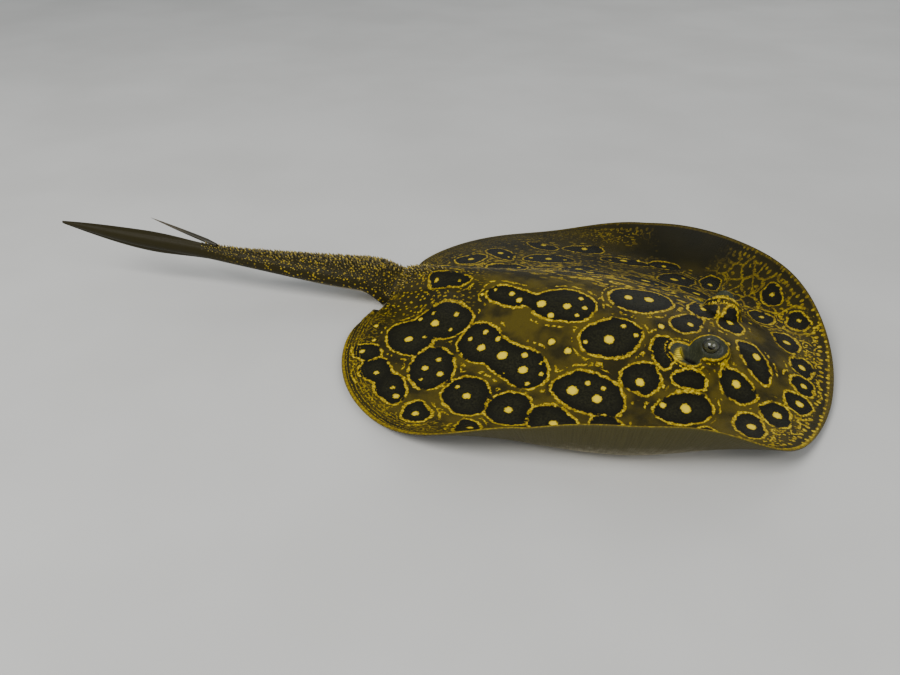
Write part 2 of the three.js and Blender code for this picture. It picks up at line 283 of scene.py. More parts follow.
under = {
    "mouthX": 117, "mouthHalf": 23, "mouthArch": 5, "mouthDepth": 5, "mouthWidth": 1.9,
    "lipAt": 5, "lipDepth": 0.8, "lipWidth": 1.3,
    "nostril": (138, 19), "nostrilSize": (6.5, 3.4), "nostrilTurn": -35, "nostrilDepth": 5,
    "curtain": (136, 16, 123, 17), "curtainDepth": 1.2,  # x and y of its two ends
    "gills": [(86, 57, 9.5), (71, 57, 9.5), (56, 54, 9), (42, 49, 8), (29, 43, 7)],  # x, y, half length
    "gillDepth": 2.6, "grooveWidth": 1.5,
    "creaseX": 8, "creaseDepth": 0.6, "creaseEnd": (50, 70),  # behind the gill basket
    "ventX": -168, "ventHalf": 7, "ventDepth": 3, "ventWidth": 2.2,
}


def groove(x, y, fromX, fromY, toX, toY, width):
    alongX, alongY = toX - fromX, toY - fromY
    t = np.clip(((x - fromX) * alongX + (y - fromY) * alongY) / (alongX ** 2 + alongY ** 2), 0, 1)
    away = np.hypot(x - fromX - t * alongX, y - fromY - t * alongY)
    return bell(away, width, 2) * (1 - 0.6 * np.abs(2 * t - 1) ** 4)


def bellyForms(x, y):
    archX = under["mouthX"] + under["mouthArch"] * (1 - (y / under["mouthHalf"]) ** 2)
    inMouth = 1 - smooth(np.abs(y), under["mouthHalf"] - 3, under["mouthHalf"] + 1)
    slit = bell(x - archX, under["mouthWidth"], 2) * inMouth
    lips = bell(np.abs(x - archX) - under["lipAt"], under["lipWidth"], 2) * inMouth
    depth = under["mouthDepth"] * slit + under["lipDepth"] * lips
    # dark marks the mouth, nostrils, gill slits and vent, later painted dark as shade
    dark = slit
    for side in (1, -1):
        nostrilX, nostrilY = under["nostril"]
        u, v = turned(x, y, nostrilX, side * nostrilY, *under["nostrilSize"], side * under["nostrilTurn"])
        pit = bell(np.hypot(u, v), 0.9, 3)
        depth += under["nostrilDepth"] * pit
        dark = np.maximum(dark, pit)
        fromX, fromY, toX, toY = under["curtain"]
        curtain = groove(x, y, fromX, side * fromY, toX, side * toY, under["grooveWidth"])
        depth += under["curtainDepth"] * curtain
        for gillX, gillY, half in under["gills"]:
            slit = groove(x, y, gillX + 3, side * (gillY - half), gillX - 2, side * (gillY + half),
                          under["grooveWidth"])
            depth += under["gillDepth"] * slit
            dark = np.maximum(dark, 0.8 * slit)
    ventX, half = under["ventX"], under["ventHalf"]
    vent = groove(x, y, ventX - half, 0, ventX + half, 0, under["ventWidth"])
    depth += under["ventDepth"] * vent
    dark = np.maximum(dark, 0.6 * vent)
    crease = bell(x - under["creaseX"], 3, 2) * (1 - smooth(np.abs(y), *under["creaseEnd"]))
    depth += under["creaseDepth"] * crease
    return depth, dark


# The tail's centreline and its size

tail = {
    "line": [(-203, 0, 26), (-238, -10, 29), (-276, -24, 33), (-368, -56, 45), (-428, -69, 51),
             (-486, -84, 58), (-563, -99, 68)],
    "rootWidth": 52, "rootHeight": 34, "waist": 0.62, "bladeWidth": 11, "bladeHeight": 15,
    "foldHeight": 4.5, "foldStart": 0.5, "taperStart": 0.72, "tipSize": 0.12, "rise": 46,
    "rowStep": 3.2, "joinLength": 26,
}


def smoothLine(points, samples=500):
    # a centripetal Catmull-Rom line, evenly sampled by its length
    points = np.array(points, float)
    ends = [2 * points[0] - points[1]], [2 * points[-1] - points[-2]]
    knots = np.concatenate([ends[0], points, ends[1]])
    line = []
    for i in range(len(points) - 1):
        p0, p1, p2, p3 = knots[i:i + 4]
        d0, d1, d2 = (np.linalg.norm(b - a) ** 0.5 for a, b in ((p0, p1), (p1, p2), (p2, p3)))
        m1 = ((p1 - p0) / d0 - (p2 - p0) / (d0 + d1) + (p2 - p1) / d1) * d1
        m2 = ((p2 - p1) / d1 - (p3 - p1) / (d1 + d2) + (p3 - p2) / d2) * d1
        t = np.linspace(0, 1, 200)[:, None]
        t = t if i == len(points) - 2 else t[:-1]
        line.append(p1 + m1 * t + (3 * (p2 - p1) - 2 * m1 - m2) * t ** 2
                    + (2 * (p1 - p2) + m1 + m2) * t ** 3)
    line = np.concatenate(line)
    length = np.concatenate([[0], np.cumsum(np.linalg.norm(np.diff(line, axis=0), axis=1))])
    even = np.linspace(0, length[-1], samples)
    return np.stack([np.interp(even, length, line[:, k]) for k in range(3)], -1), length[-1]


tailMiddle, tailLength = smoothLine(tail["line"])
tailAhead = np.gradient(tailMiddle, axis=0)
tailAhead /= np.linalg.norm(tailAhead, axis=1)[:, None]


def along3(table, share):
    at = share * (len(table) - 1)
    return np.stack([np.interp(at, np.arange(len(table)), table[:, k]) for k in range(3)], -1)


def tailSurface(run, place, up):
    # run: millimetres from the root; place: -1 the right side to 1 the left; up: 1 over, -1 below
    run, place = np.broadcast_arrays(run, place)
    share = run / tailLength
    middle, ahead = along3(tailMiddle, share), along3(tailAhead, share)
    side = np.stack([ahead[..., 1], -ahead[..., 0]], -1)
    side /= np.linalg.norm(side, axis=-1)[..., None]
    toBlade = smooth(share, 0, tail["waist"])
    taper = np.maximum(0, (share - tail["taperStart"]) / (1 - tail["taperStart"]))
    toTip = lerp(1, tail["tipSize"], taper ** 1.6)
    width = lerp(tail["rootWidth"], tail["bladeWidth"], toBlade) * toTip
    height = lerp(tail["rootHeight"], tail["bladeHeight"], toBlade) * toTip
    fold = tail["foldHeight"] * smooth(share, tail["foldStart"], tail["taperStart"]) * toTip
    level = np.sqrt(np.maximum(0, 1 - place ** 2))
    roundZ = middle[..., 2] + up * (height / 2 * level + fold * bell(place, 0.22, 2))
    flatTop = lerp(curl["rest"] + disc["edge"], middle[..., 2] + height / 2, level ** 0.9)
    flatZ = flatTop if up > 0 else 0 * roundZ
    z = lerp(flatZ, roundZ, smooth(run, 0, tail["rise"]))
    return np.stack([middle[..., 0] + side[..., 0] * width / 2 * place,
                     middle[..., 1] + side[..., 1] * width / 2 * place, z], -1)


# Marks on the back: dark blotches in gold rings, with gold spots. Flat places in millimetres.
# Each blotch: ovals as (x, y, half length, half width, turn in degrees), then spots as (x, y, radius)

blotches = [
    ([(-70, -150, 26, 21, -63)], [(-70, -149, 5.6), (-82, -140, 3.3)]),
    ([(-30, -156, 23, 20, -84)], [(-30, -154, 5.6)]),
    ([(-83, -83, 27, 20, -40), (-61, -93, 24, 15.5, -35), (-38, -104, 29, 20, -28)],
     [(-84, -69, 3.7), (-96, -77, 3.4), (-69, -76, 3.6), (-81, -87, 6), (-58, -94, 6.3), (-38, -91, 4.4),
      (-34, -107, 6.4), (-17, -108, 3.3), (-25, -121, 3.4), (-21, -97, 2.4), (-49, -113, 2)]),
    ([(-115, -122, 31, 20, -72)],
     [(-121, -124, 4.6), (-104, -128, 5.1), (-114, -109, 4.2), (-118, -140, 2.9)]),
    ([(-155, -86, 31, 22, -51), (-134, -60, 31, 21, 17)],
     [(-154, -90, 5.8), (-139, -62, 5.7), (-140, -84, 3), (-122, -49, 3.4), (-146, -50, 2.7),
      (-157, -57, 3.3), (-121, -66, 2.7), (-155, -112, 2.5)]),
    ([(-163, -141, 20, 14, -48), (-137, -161, 21, 13, -54)],
     [(-160, -145, 4.1), (-136, -160, 3.2), (-128, -169, 4.3)]),
    ([(-102, -184, 16, 12, -50)], [(-102, -186, 4.5)]),
    ([(-52, -200, 20, 10, -75)], [(-50, -199, 4)]),
    ([(-185, -117, 17, 12, -31)], [(-190, -117, 4.6)]),
    ([(-22, -31, 31, 21, 5), (-72, -30, 28, 11, -10)],
     [(-42, -35, 5.9), (-18, -33, 5.6), (-29, -47, 4.4), (-64, -34, 4.4), (-74, -27, 4.2), (-9, -19, 3.9),
      (-2, -31, 3.4), (-6, -42, 3.1), (-103, -30, 2.7), (-92, -24, 2.3)]),
    ([(42, 3, 30, 21, 20)], [(31, 1, 5.3), (49, 7, 5.8)]),
    ([(30, -57, 28, 20, 29)], [(29, -60, 6.3), (37, -42, 3.1), (50, -48, 2.9), (10, -68, 2.5)]),
    ([(76, -55, 16, 10.5, -75)], []),
    ([(28, -117, 31, 21, -6)], [(14, -118, 6.9), (36, -120, 6.4), (24, -107, 3.7), (38, -108, 3.5)]),
    ([(65, -88, 17, 15, 41)], [(65, -92, 5.4)]),
    ([(103, -72, 15, 9, 27)], []),
    ([(105, -102, 26, 15, 33)], [(106, -101, 6), (88, -106, 4.1)]),
    ([(97, 25, 18, 13, 85)], [(97, 25, 4.6), (94, 31, 2.6)]),
    ([(88, -11, 18, 12, 58)], [(91, -12, 4.4)]),
    ([(124, 17, 14, 12, 80)], [(123, 19, 4.6)]),
    ([(142, -59, 17, 14, -37)], [(140, -57, 5.6)]),
    ([(151, -22, 24, 12, -55)], [(152, -18, 5.6)]),
    ([(177, -71, 15, 12, -88)], [(178, -71, 5.2)]),
    ([(160, -98, 18, 12, -76)], [(161, -97, 5.6)]),
    ([(193, -46, 12, 11, -86)], [(194, -46, 4.3)]),
    ([(195, -21, 12, 10, -79)], [(196, -21, 4)]),
    ([(193, 6, 14, 10, -90)], [(193, 5, 4.4)]),
    ([(178, 40, 20, 12, -80)], [(179, 40, 4.8)]),
    ([(188, 84, 14, 9, -70)], [(189, 85, 3.4)]),
    ([(163, 126, 17, 9, -75)], [(163, 127, 3.8)]),
    ([(153, 88, 17, 11, -55)], [(155, 90, 4)]),
    ([(122, 92, 16, 9, 70)], [(122, 94, 3.6)]),
    ([(94, 144, 20, 12, 80)], [(95, 145, 4.2)]),
    ([(58, 128, 27, 18, 70)], [(56, 126, 6), (64, 140, 3.4)]),
    ([(-2, 160, 30, 12, 6)], [(-6, 163, 6), (10, 172, 3.6), (-20, 155, 2.8)]),
    ([(-22, 62, 24, 19, 40), (-42, 92, 24, 17, 70)],
     [(-20, 58, 5.6), (-40, 92, 6), (-30, 76, 3.4), (-52, 100, 3)]),
    ([(34, 74, 25, 20, -25)], [(34, 74, 6.2), (46, 66, 3.2)]),
    ([(84, 88, 22, 16, -40)], [(84, 88, 5.8)]),
    ([(-146, -14, 23, 10, -4)], [(-158, -16, 3.1), (-133, -16, 2.6)]),
    ([(8, -158, 24, 19, -25)], [(10, -157, 5.4)]),
    ([(58, -152, 24, 14, -28)], [(56, -152, 5.2)]),
    ([(98, -148, 17, 12, -35)], [(98, -148, 4.4)]),
    ([(134, -128, 16, 11, -50)], [(134, -128, 4.2)]),
    ([(-88, 40, 26, 16, 15)], [(-86, 40, 5.4), (-98, 34, 3), (-74, 45, 3)]),
    ([(-84, 128, 29, 14, 8)], [(-84, 128, 5.2), (-104, 125, 3.2), (-66, 131, 3)]),
    ([(-118, 78, 24, 18, 40)], [(-117, 78, 5.8), (-127, 68, 3.2), (-106, 88, 3)]),
    ([(-152, 52, 20, 14, -20)], [(-152, 52, 4.6), (-162, 56, 2.6)]),
    ([(-140, 122, 21, 12, -30)], [(-140, 122, 4.6), (-128, 117, 2.6)]),
    ([(-166, 96, 19, 14, 50)], [(-166, 96, 4.8)]),
    ([(-56, 176, 23, 10, 12)], [(-56, 178, 4.8), (-66, 164, 3)]),
    ([(38, 170, 20, 9, 8)], [(40, 170, 3.8)]),
    ([(-188, 62, 14, 11, 0)], [(-188, 62, 3.8)]),
    ([(-104, 168, 20, 9, -12)], [(-104, 172, 4.2)]),
]

strayMarks = [
    (-19, -74, 4.8), (-2, -80, 4.7), (68, -29, 4.2), (-199, -72, 4), (-188, -97, 3.4),
    (84, -88, 2.6), (140, 46, 2.8), (8, 28, 3.2), (66, 44, 3), (112, 108, 3), (-66, 66, 3), (-6, 112, 3.2),
    (126, -18, 2.6),
]

spotSize = 0.72
wobbles = ((2, 0.5), (3, 0.8), (5, 0.5))  # waves round a blotch's edge and their heights
random.seed(7)


def blotchDistance(x, y, ovals):
    away = None
    for centreX, centreY, length, width, turn in ovals:
        u, v = turned(x, y, centreX, centreY, length, width, turn)
        around = np.arctan2(v, u)
        wobble = sum(size * np.sin(k * around + random.uniform(0, 6.3)) for k, size in wobbles)
        edge = ovalDistance(x, y, centreX, centreY, length + 0.6, width + 0.6, turn) - wobble
        away = edge if away is None else softMin(away, edge, 5)
    return away


def backMarks(x, y):
    nearest = np.full(x.shape, farAway)
    second = np.full(x.shape, farAway)
    spot = np.full(x.shape, 30.0)
    for ovals, spots in blotches:
        away = blotchDistance(x, y, ovals)
        second = np.minimum(second, np.maximum(nearest, away))
        nearest = np.minimum(nearest, away)
        for spotX, spotY, radius in spots:
            grown = spotSize * radius * random.uniform(0.92, 1.08)
            spot = np.minimum(spot, np.hypot(x - spotX, y - spotY) - grown)
    for spotX, spotY, radius in strayMarks:
        spot = np.minimum(spot, np.hypot(x - spotX, y - spotY) - spotSize * radius)
    ring = np.maximum(nearest, (nearest - second) / 2)
    return ring, spot


marginAngles = np.linspace(0, disc["lastAngle"], 800) * degree
marginX, marginY = outline(marginAngles)
marginRun = np.concatenate([[0], np.cumsum(np.hypot(np.diff(marginX), np.diff(marginY)))])


def marginPlace(x, y, angle, share):
    run = np.interp(np.abs(angle), marginAngles, marginRun) * np.where(y < 0, -1, 1)
    reach = np.interp(np.abs(angle), marginAngles, np.hypot(marginX, marginY))
    return run, (1 - share) * reach


print("forms and marks ready")

# Pieces are made from millimetre points; OFBake is the map the looks are baked on

bakeMap = {
    "discFrom": (-235, -232), "discSize": (460, 464),  # millimetres that one disc patch covers
    "margin": 0.01, "back": 0.68, "backV": 0.31, "belly": 0.28, "bellyFrom": 0.70,
    "tail": (0.97, 0.26), "fins": (0.70, 0.45), "finSize": (0.6, 0.5), "finStep": 0.12,
}


def newPiece(name, points, faces, flatFaces=False):
    mesh = bpy.data.meshes.new(name)
    mesh.from_pydata((np.array(points) * mm).tolist(), [], faces, shade_flat=flatFaces)
    piece = bpy.data.objects.new(name, mesh)
    bpy.context.scene.collection.objects.link(piece)
    return piece


def vectorLayer(mesh, name, first, second, third):
    layer = mesh.attributes.new(name, "FLOAT_VECTOR", "POINT")
    layer.data.foreach_set("vector", np.stack([first, second, third], -1).astype(np.float32).ravel())


def cornerPoints(mesh):
    corners = np.zeros(len(mesh.loops), int)
    mesh.loops.foreach_get("vertex_index", corners)
    return corners


def bakeLayer(mesh, uv):
    layer = mesh.uv_layers.new(name="OFBake")
    layer.data.foreach_set("uv", uv.astype(np.float32).ravel())


def turnOutward(piece):
    work = bmesh.new()
    work.from_mesh(piece.data)
    bmesh.ops.recalc_face_normals(work, faces=work.faces)
    work.to_mesh(piece.data)
    work.free()


def discShare(x, y):
    # a flat place on the disc as shares of the disc's length and width
    fromX, fromY = bakeMap["discFrom"]
    long, wide = bakeMap["discSize"]
    return (x - fromX) / long, (y - fromY) / wide


def discPatch(x, y):
    u, v = discShare(x, y)
    return bakeMap["margin"] + bakeMap["back"] * u, bakeMap["backV"] + bakeMap["back"] * v


def tailPatch(run, around):
    long, wide = bakeMap["tail"]
    return bakeMap["margin"] + long * (run + 6) / (tailLength + 12), bakeMap["margin"] + wide * around


# One skin over head, trunk, wings, pelvic fins and tail

skin = {
    "rowStep": 2.1, "marginStep": 3.6, "columnStep": 2.5, "underStep": 5.0,
    "rowBands": [(78, 144, 1.2), (98, 128, 0.8)],  # from x, to x, finer step
    "columnBands": [(29, 64, 0.95), (45, 54, 0.45), (199, 230, 1.0)],  # from y, to y, finer step
    "underBands": [(-1, 68, 1.7), (196, 230, 2.0)],
    "halfSpan": 206,  # the disc's half width level with the eyes
    "sweepFrom": 85,  # rows cross the ray straight up to this angle, then sweep back
    "edgeRoll": 0.6,
}


def stepAt(place, step, bands):
    steps = np.full(place.shape, step)
    for low, high, finer in bands:
        steps[(place > low) & (place < high)] = finer
    return steps


def rowAngles():
    fine = np.linspace(0.8, disc["lastAngle"], 8000) * degree
    x, y = outline(fine)
    middle = middleLine(fine)
    step = stepAt((middle[1:] + middle[:-1]) / 2, skin["rowStep"], skin["rowBands"])
    need = np.maximum(np.abs(np.diff(middle)) / step, np.hypot(np.diff(x), np.diff(y)) / skin["marginStep"])
    run = np.concatenate([[0], np.cumsum(need)])
    return np.interp(np.linspace(0, run[-1], int(round(run[-1])) + 1), run, fine)


def middleLine(angle):
    # where a row crosses the ray's middle
    start, end = skin["sweepFrom"], disc["lastAngle"]
    sweep = np.clip((angle / degree - start) / (end - start), 0, 1)
    turnX = outline(np.array(start * degree))[0]
    rootX = outline(np.array(end * degree))[0]
    return np.where(angle / degree < start, outline(angle)[0], lerp(turnX, rootX, sweep))


def acrossPlaces(step, bands):
    half = spaced(0, skin["halfSpan"], lambda y: stepAt(y, step, bands)) / skin["halfSpan"]
    return np.concatenate([-half[:0:-1], half])


def skinRows():
    angles = rowAngles()[:, None]
    over = acrossPlaces(skin["columnStep"], skin["columnBands"])
    below = acrossPlaces(skin["underStep"], skin["underBands"])[::-1]
    marginAtX, marginAtY = outline(angles)
    middle = middleLine(angles)

    def sheetAt(places):
        x, y = lerp(middle, marginAtX, places ** 2), marginAtY * places
        sheet, facing, share, angle = bellySheet(x, y)
        return sheet, facing, {"x": x, "y": y, "share": share, "angle": angle}

    top, facing, overData = sheetAt(over[None, :])
    top = top + facing * bodyThickness(overData["x"], overData["y"], overData["share"])[..., None]
    z, overData["hollow"], overData["eyeZone"] = headForms(overData["x"], overData["y"], top[..., 2])
    top[..., 2] = z
    top, overData["wet"] = closeLids(top)

    low, facing, lowData = sheetAt(below[None, :])
    depth, lowData["hollow"] = bellyForms(lowData["x"], lowData["y"])
    low = low + facing * depth[..., None]
    lowData["eyeZone"], lowData["wet"] = np.full(depth.shape, farAway), np.zeros(depth.shape)

    def edgeOf(topColumn, lowColumn):
        outward = top[:, topColumn] - top[:, topColumn + (1 if topColumn == 0 else -1)]
        outward /= np.linalg.norm(outward, axis=1)[:, None]
        return ((top[:, topColumn] + low[:, lowColumn]) / 2 + outward * skin["edgeRoll"])[:, None]

    points = np.concatenate([top, edgeOf(-1, 0), low, edgeOf(0, -1)], 1)
    data = {key: np.concatenate([over, over[:, -1:], lowData[key], over[:, :1]], 1)
            for key, over in overData.items()}
    return points, data, top.shape[1], low.shape[1]


def tailRows(overCount, belowCount, lastLoop):
    tipBand = [(tailLength - 12, tailLength, 1.2)]
    run = spaced(0, tailLength - 0.5, lambda r: stepAt(r, tail["rowStep"], tipBand))
    over = np.sin(np.linspace(-1, 1, overCount) * math.pi / 2)[None]
    below = np.sin(np.linspace(1, -1, belowCount) * math.pi / 2)[None]
    r = run[:, None]
    right, left = np.full_like(r, -1.0), np.full_like(r, 1.0)
    points = np.concatenate([
        tailSurface(r, over, 1), (tailSurface(r, left, 1) + tailSurface(r, left, -1)) / 2,
        tailSurface(r, below, -1), (tailSurface(r, right, 1) + tailSurface(r, right, -1)) / 2], 1)
    ease = 1 - smooth(run, 0, tail["joinLength"])
    points = points + (lastLoop - points[0])[None] * ease[:, None, None]
    return run[1:], points[1:]


pelvic = {
    "rootX": -152, "rootY": 30, "level": 1.9, "sideReach": 64, "rearReach": 79, "rearTuck": 7,
    "sidePower": 0.72, "rearPower": 1.15,
    "rootHalf": 1.6, "rimHalf": 0.5, "leastHalf": 0.3,  # half thickness
    "rays": 62, "rayHeight": 0.16, "turnSteps": 64, "outSteps": 30,
    "rimLength": 105, "rimDepth": 72,
}


def pelvicFin(side):
    # a quarter fan with fine rays, rooted in the body's side
    turns = np.linspace(0.5, 89.5, pelvic["turnSteps"])[:, None] * degree
    out = np.linspace(0.02, 0.985, pelvic["outSteps"])[None]
    rimX = pelvic["rootX"] - pelvic["rearReach"] * np.sin(turns) ** pelvic["rearPower"]
    rimY = pelvic["rootY"] + pelvic["sideReach"] * np.cos(turns) ** pelvic["sidePower"]
    rimX = rimX + pelvic["rearTuck"] * smooth(turns / degree, 62, 90)
    x = lerp(pelvic["rootX"] - 0.4, rimX, out)
    y = lerp(pelvic["rootY"], rimY, out)
    rays = pelvic["rayHeight"] * np.sin(turns * pelvic["rays"]) * smooth(out, 0.15, 0.5)
    half = lerp(pelvic["rootHalf"], pelvic["rimHalf"], out ** 2)
    half = half * smooth(turns / degree, -4, 9) * smooth(94 - turns / degree, 0, 9) + rays
    half = np.maximum(half, pelvic["leastHalf"])
    z = pelvic["level"] + 0 * x
    return np.stack([x, side * y, z + half], -1), np.stack([x, side * y, z - half], -1)


def finSheets(start):
    # both pelvic fins: an upper and a lower sheet, joined by a band round the rim
    across, outward = pelvic["turnSteps"], pelvic["outSteps"]
    size = across * outward
    cells = np.arange(size).reshape(across, outward)
    rim = np.concatenate([cells[0, :-1], cells[:-1, -1], cells[-1, :0:-1], cells[:0:-1, 0]])
    follow = np.roll(rim, -1)
    run = np.repeat(np.linspace(0, pelvic["rimLength"], across), outward)
    inward = np.tile(np.linspace(pelvic["rimDepth"], 0, outward), across)
    points, data, faces, islands = [], [], [], []
    for side in (1, -1):
        for low, sheet in enumerate(pelvicFin(side)):
            at = cells + start + len(points) * size
            quads = np.stack([at[:-1, :-1], at[1:, :-1], at[1:, 1:], at[:-1, 1:]], -1).reshape(-1, 4)
            faces += (quads if (side > 0) == (low == 0) else quads[:, ::-1]).tolist()
            islands += [3 + low] * len(quads)
            points.append(sheet.reshape(-1, 3))
            data.append(np.stack([run, inward, np.full(size, float(low))]))
        lowAt = start + (len(points) - 1) * size
        topAt = lowAt - size
        band = np.stack([rim + topAt, follow + topAt, follow + lowAt, rim + lowAt], -1)
        faces += (band[:, ::-1] if side > 0 else band).tolist()
        islands += [3] * len(band)
    return np.concatenate(points), np.concatenate(data, 1), faces, islands


def bodyFaces(loopCount, overCount, discRows, allRows):
    # rings of quads with a fan at the snout and at the tail's tip; islands of the bake map:
    # 0 the back, 1 the belly, 2 the tail, 3 and 4 the upper and lower sides of the pelvic fins
    grid = np.arange(allRows * loopCount).reshape(-1, loopCount)
    nextColumn = np.roll(grid, -1, 1)
    quads = np.stack([grid[:-1], nextColumn[:-1], nextColumn[1:], grid[1:]], -1)
    snoutFan = np.stack([np.full(loopCount, grid.size), nextColumn[0], grid[0]], -1)
    tipFan = np.stack([np.full(loopCount, grid.size + 1), grid[-1], nextColumn[-1]], -1)
    columnIsland = np.ones(loopCount, int)
    columnIsland[:overCount] = 0
    columnIsland[-1] = 0
    island = np.tile(columnIsland, (allRows - 1, 1))
    island[discRows - 1:] = 2
    faces = quads.reshape(-1, 4).tolist() + snoutFan.tolist() + tipFan.tolist()
    return faces, island.ravel().tolist() + columnIsland.tolist() + [2] * loopCount


def undersideShares(run, rows, overCount, belowCount, loopCount):
    # 0 over, 1 below; round the tail the pale belly narrows and fades out
    column = np.zeros(loopCount)
    column[overCount + 1:overCount + 1 + belowCount] = 1
    column[[overCount, loopCount - 1]] = 0.5
    level = np.zeros(loopCount)
    level[overCount + 1:overCount + 1 + belowCount] = np.sin(np.linspace(0, math.pi, belowCount))
    narrow = smooth(run, 0, 30)[:, None]
    fade = 1 - smooth(run, 60, 190)
    onTail = lerp(column[None], smooth(level, 0.2, 0.75)[None], narrow) * fade[:, None]
    return np.tile(column, rows), onTail.ravel()


def buildSkin():
    points, data, overCount, belowCount = skinRows()
    rows, loopCount = points.shape[:2]
    run, tailPoints = tailRows(overCount, belowCount, points[-1])
    snout = np.array([outline(np.array(0.0))[0], 0, curl["rest"] + disc["edge"] / 2])
    tip = np.array(tail["line"][-1], float)
    faces, islands = bodyFaces(loopCount, overCount, rows, rows + len(run))
    finStart = (rows + len(run)) * loopCount + 2
    finPoints, finData, finFaces, finIslands = finSheets(finStart)
    faces += finFaces
    islands += finIslands
    allPoints = np.concatenate([points.reshape(-1, 3), tailPoints.reshape(-1, 3),
                                snout[None], tip[None], finPoints])

    count = len(allPoints)
    discCount = rows * loopCount
    onTail = slice(discCount, discCount + len(run) * loopCount)
    offDisc = np.arange(count) >= discCount

    def wholeLayer(value, discValues):
        layer = np.full(count, float(value))
        layer[:discCount] = discValues.ravel()
        return layer

    flatX, flatY = allPoints[:, 0].copy(), allPoints[:, 1].copy()
    flatX[:discCount], flatY[:discCount] = data["x"].ravel(), data["y"].ravel()
    discUnder, tailUnder = undersideShares(run, rows, overCount, belowCount, loopCount)
    underside = wholeLayer(0, discUnder)
    underside[onTail] = tailUnder
    underside[finStart:] = finData[2]
    ring, spot = backMarks(flatX, flatY)
    ring[offDisc] = 30
    spot[offDisc] = 30
    x, y = flatX[:discCount], flatY[:discCount]
    tailRun = wholeLayer(-20, np.minimum(0, tail["line"][0][0] - x) - 30 * smooth(np.abs(y), 18, 34))
    tailRun[onTail] = np.repeat(run, loopCount)
    tailAround = np.zeros(count)
    tailAround[onTail] = np.tile(np.arange(loopCount) / loopCount, len(run))
    runAt, inAt = marginPlace(data["x"], data["y"], data["angle"], data["share"])
    rimRun, rimIn = wholeLayer(0, runAt), wholeLayer(120, inAt)
    rimRun[finStart:], rimIn[finStart:] = finData[:2]
    long, wide = spiracle["wall"]
    shiftX, shiftY = spiracle["wallShift"]
    u, v = (flatX - spiracle["x"] - shiftX) / long, (np.abs(flatY) - spiracle["y"] - shiftY) / wide
    wall = np.where(underside < 0.5, bell(np.hypot(u, v), 1, 4), 0)
    wall[offDisc] = 0

    piece = newPiece("ray_skin", allPoints, faces)
    mesh = piece.data
    vectorLayer(mesh, "flatPlace", flatX, flatY, underside)
    vectorLayer(mesh, "marks", ring, spot, wall)
    vectorLayer(mesh, "ways", rimRun, rimIn, tailRun)
    vectorLayer(mesh, "forms", wholeLayer(0, data["hollow"]), wholeLayer(farAway, data["eyeZone"]),
                wholeLayer(0, data["wet"]))
    skinUnwrap(mesh, islands, flatX, flatY, tailRun, tailAround)
    turnOutward(piece)
    print("skin:", len(mesh.vertices), "points", len(mesh.polygons), "faces")
    return piece


def skinUnwrap(mesh, islands, flatX, flatY, tailRun, tailAround):
    corners = cornerPoints(mesh)
    sizes = np.zeros(len(mesh.polygons), int)
    mesh.polygons.foreach_get("loop_total", sizes)
    faceOf = np.repeat(np.arange(len(sizes)), sizes)
    island = np.array(islands)[faceOf]
    x, y = flatX[corners], flatY[corners]
    around = tailAround[corners].copy()
    starts = np.concatenate([[0], np.cumsum(sizes)[:-1]])
    widest = np.maximum.reduceat(around, starts)[faceOf]
    around[(widest > 0.9) & (around < 0.1)] = 1.0  # the face that closes the loop
    u, v = discPatch(x, y)
    discU, discV = discShare(x, y)
    lowU, lowV = (bakeMap["bellyFrom"] + bakeMap["belly"] * share for share in (discU, discV))
    tailU, tailV = tailPatch(np.maximum(tailRun[corners], -2), around)
    finU = bakeMap["fins"][0] + discU * bakeMap["finSize"][0]
    finV = bakeMap["fins"][1] + y / bakeMap["discSize"][1] * bakeMap["finSize"][1]
    u = np.choose(island, [u, lowU, tailU, finU, finU + bakeMap["finStep"]])
    v = np.choose(island, [v, lowV, tailV, finV, finV])
    bakeLayer(mesh, np.stack([u, v], -1))


raySkin = buildSkin()
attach(raySkin, "root")
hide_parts("head", "trunk", "pectoral_fin_left", "pectoral_fin_right", "pelvic_fin_left",
            "pelvic_fin_right", "tail_base", "tail_middle", "tail_tip")


# Shader helpers: a wire between nodes that can be added, multiplied and so on

class Wire:
    def __init__(self, paint, socket):
        self.paint = paint
        self.socket = socket

    def math(self, operation, *others):
        inputs = dict(enumerate((self,) + others))
        return self.paint.node("ShaderNodeMath", {"operation": operation}, inputs)

    def __add__(self, other):
        return self.math("ADD", other)

    def __radd__(self, other):
        return self.math("ADD", other)

    def __sub__(self, other):
        return self.math("SUBTRACT", other)

    def __rsub__(self, other):
        return self.paint.node("ShaderNodeMath", {"operation": "SUBTRACT"}, {0: other, 1: self})

    def __mul__(self, other):
        return self.math("MULTIPLY", other)

    def __rmul__(self, other):
        return self.math("MULTIPLY", other)

    def __truediv__(self, other):
        return self.math("DIVIDE", other)

    def __abs__(self):
        return self.math("ABSOLUTE")

    def most(self, other):
        return self.math("MAXIMUM", other)

    def wave(self):
        return self.math("SINE")

    def smooth(self, low, high):
        inputs = {"Value": self, "From Min": low, "From Max": high}
        return self.paint.node("ShaderNodeMapRange", {"interpolation_type": "SMOOTHSTEP"}, inputs)

    def fall(self, low, high):
        return 1 - self.smooth(low, high)

    def split(self):
        first = self.paint.node("ShaderNodeSeparateXYZ", {}, {0: self})
        return [Wire(self.paint, output) for output in first.socket.node.outputs]


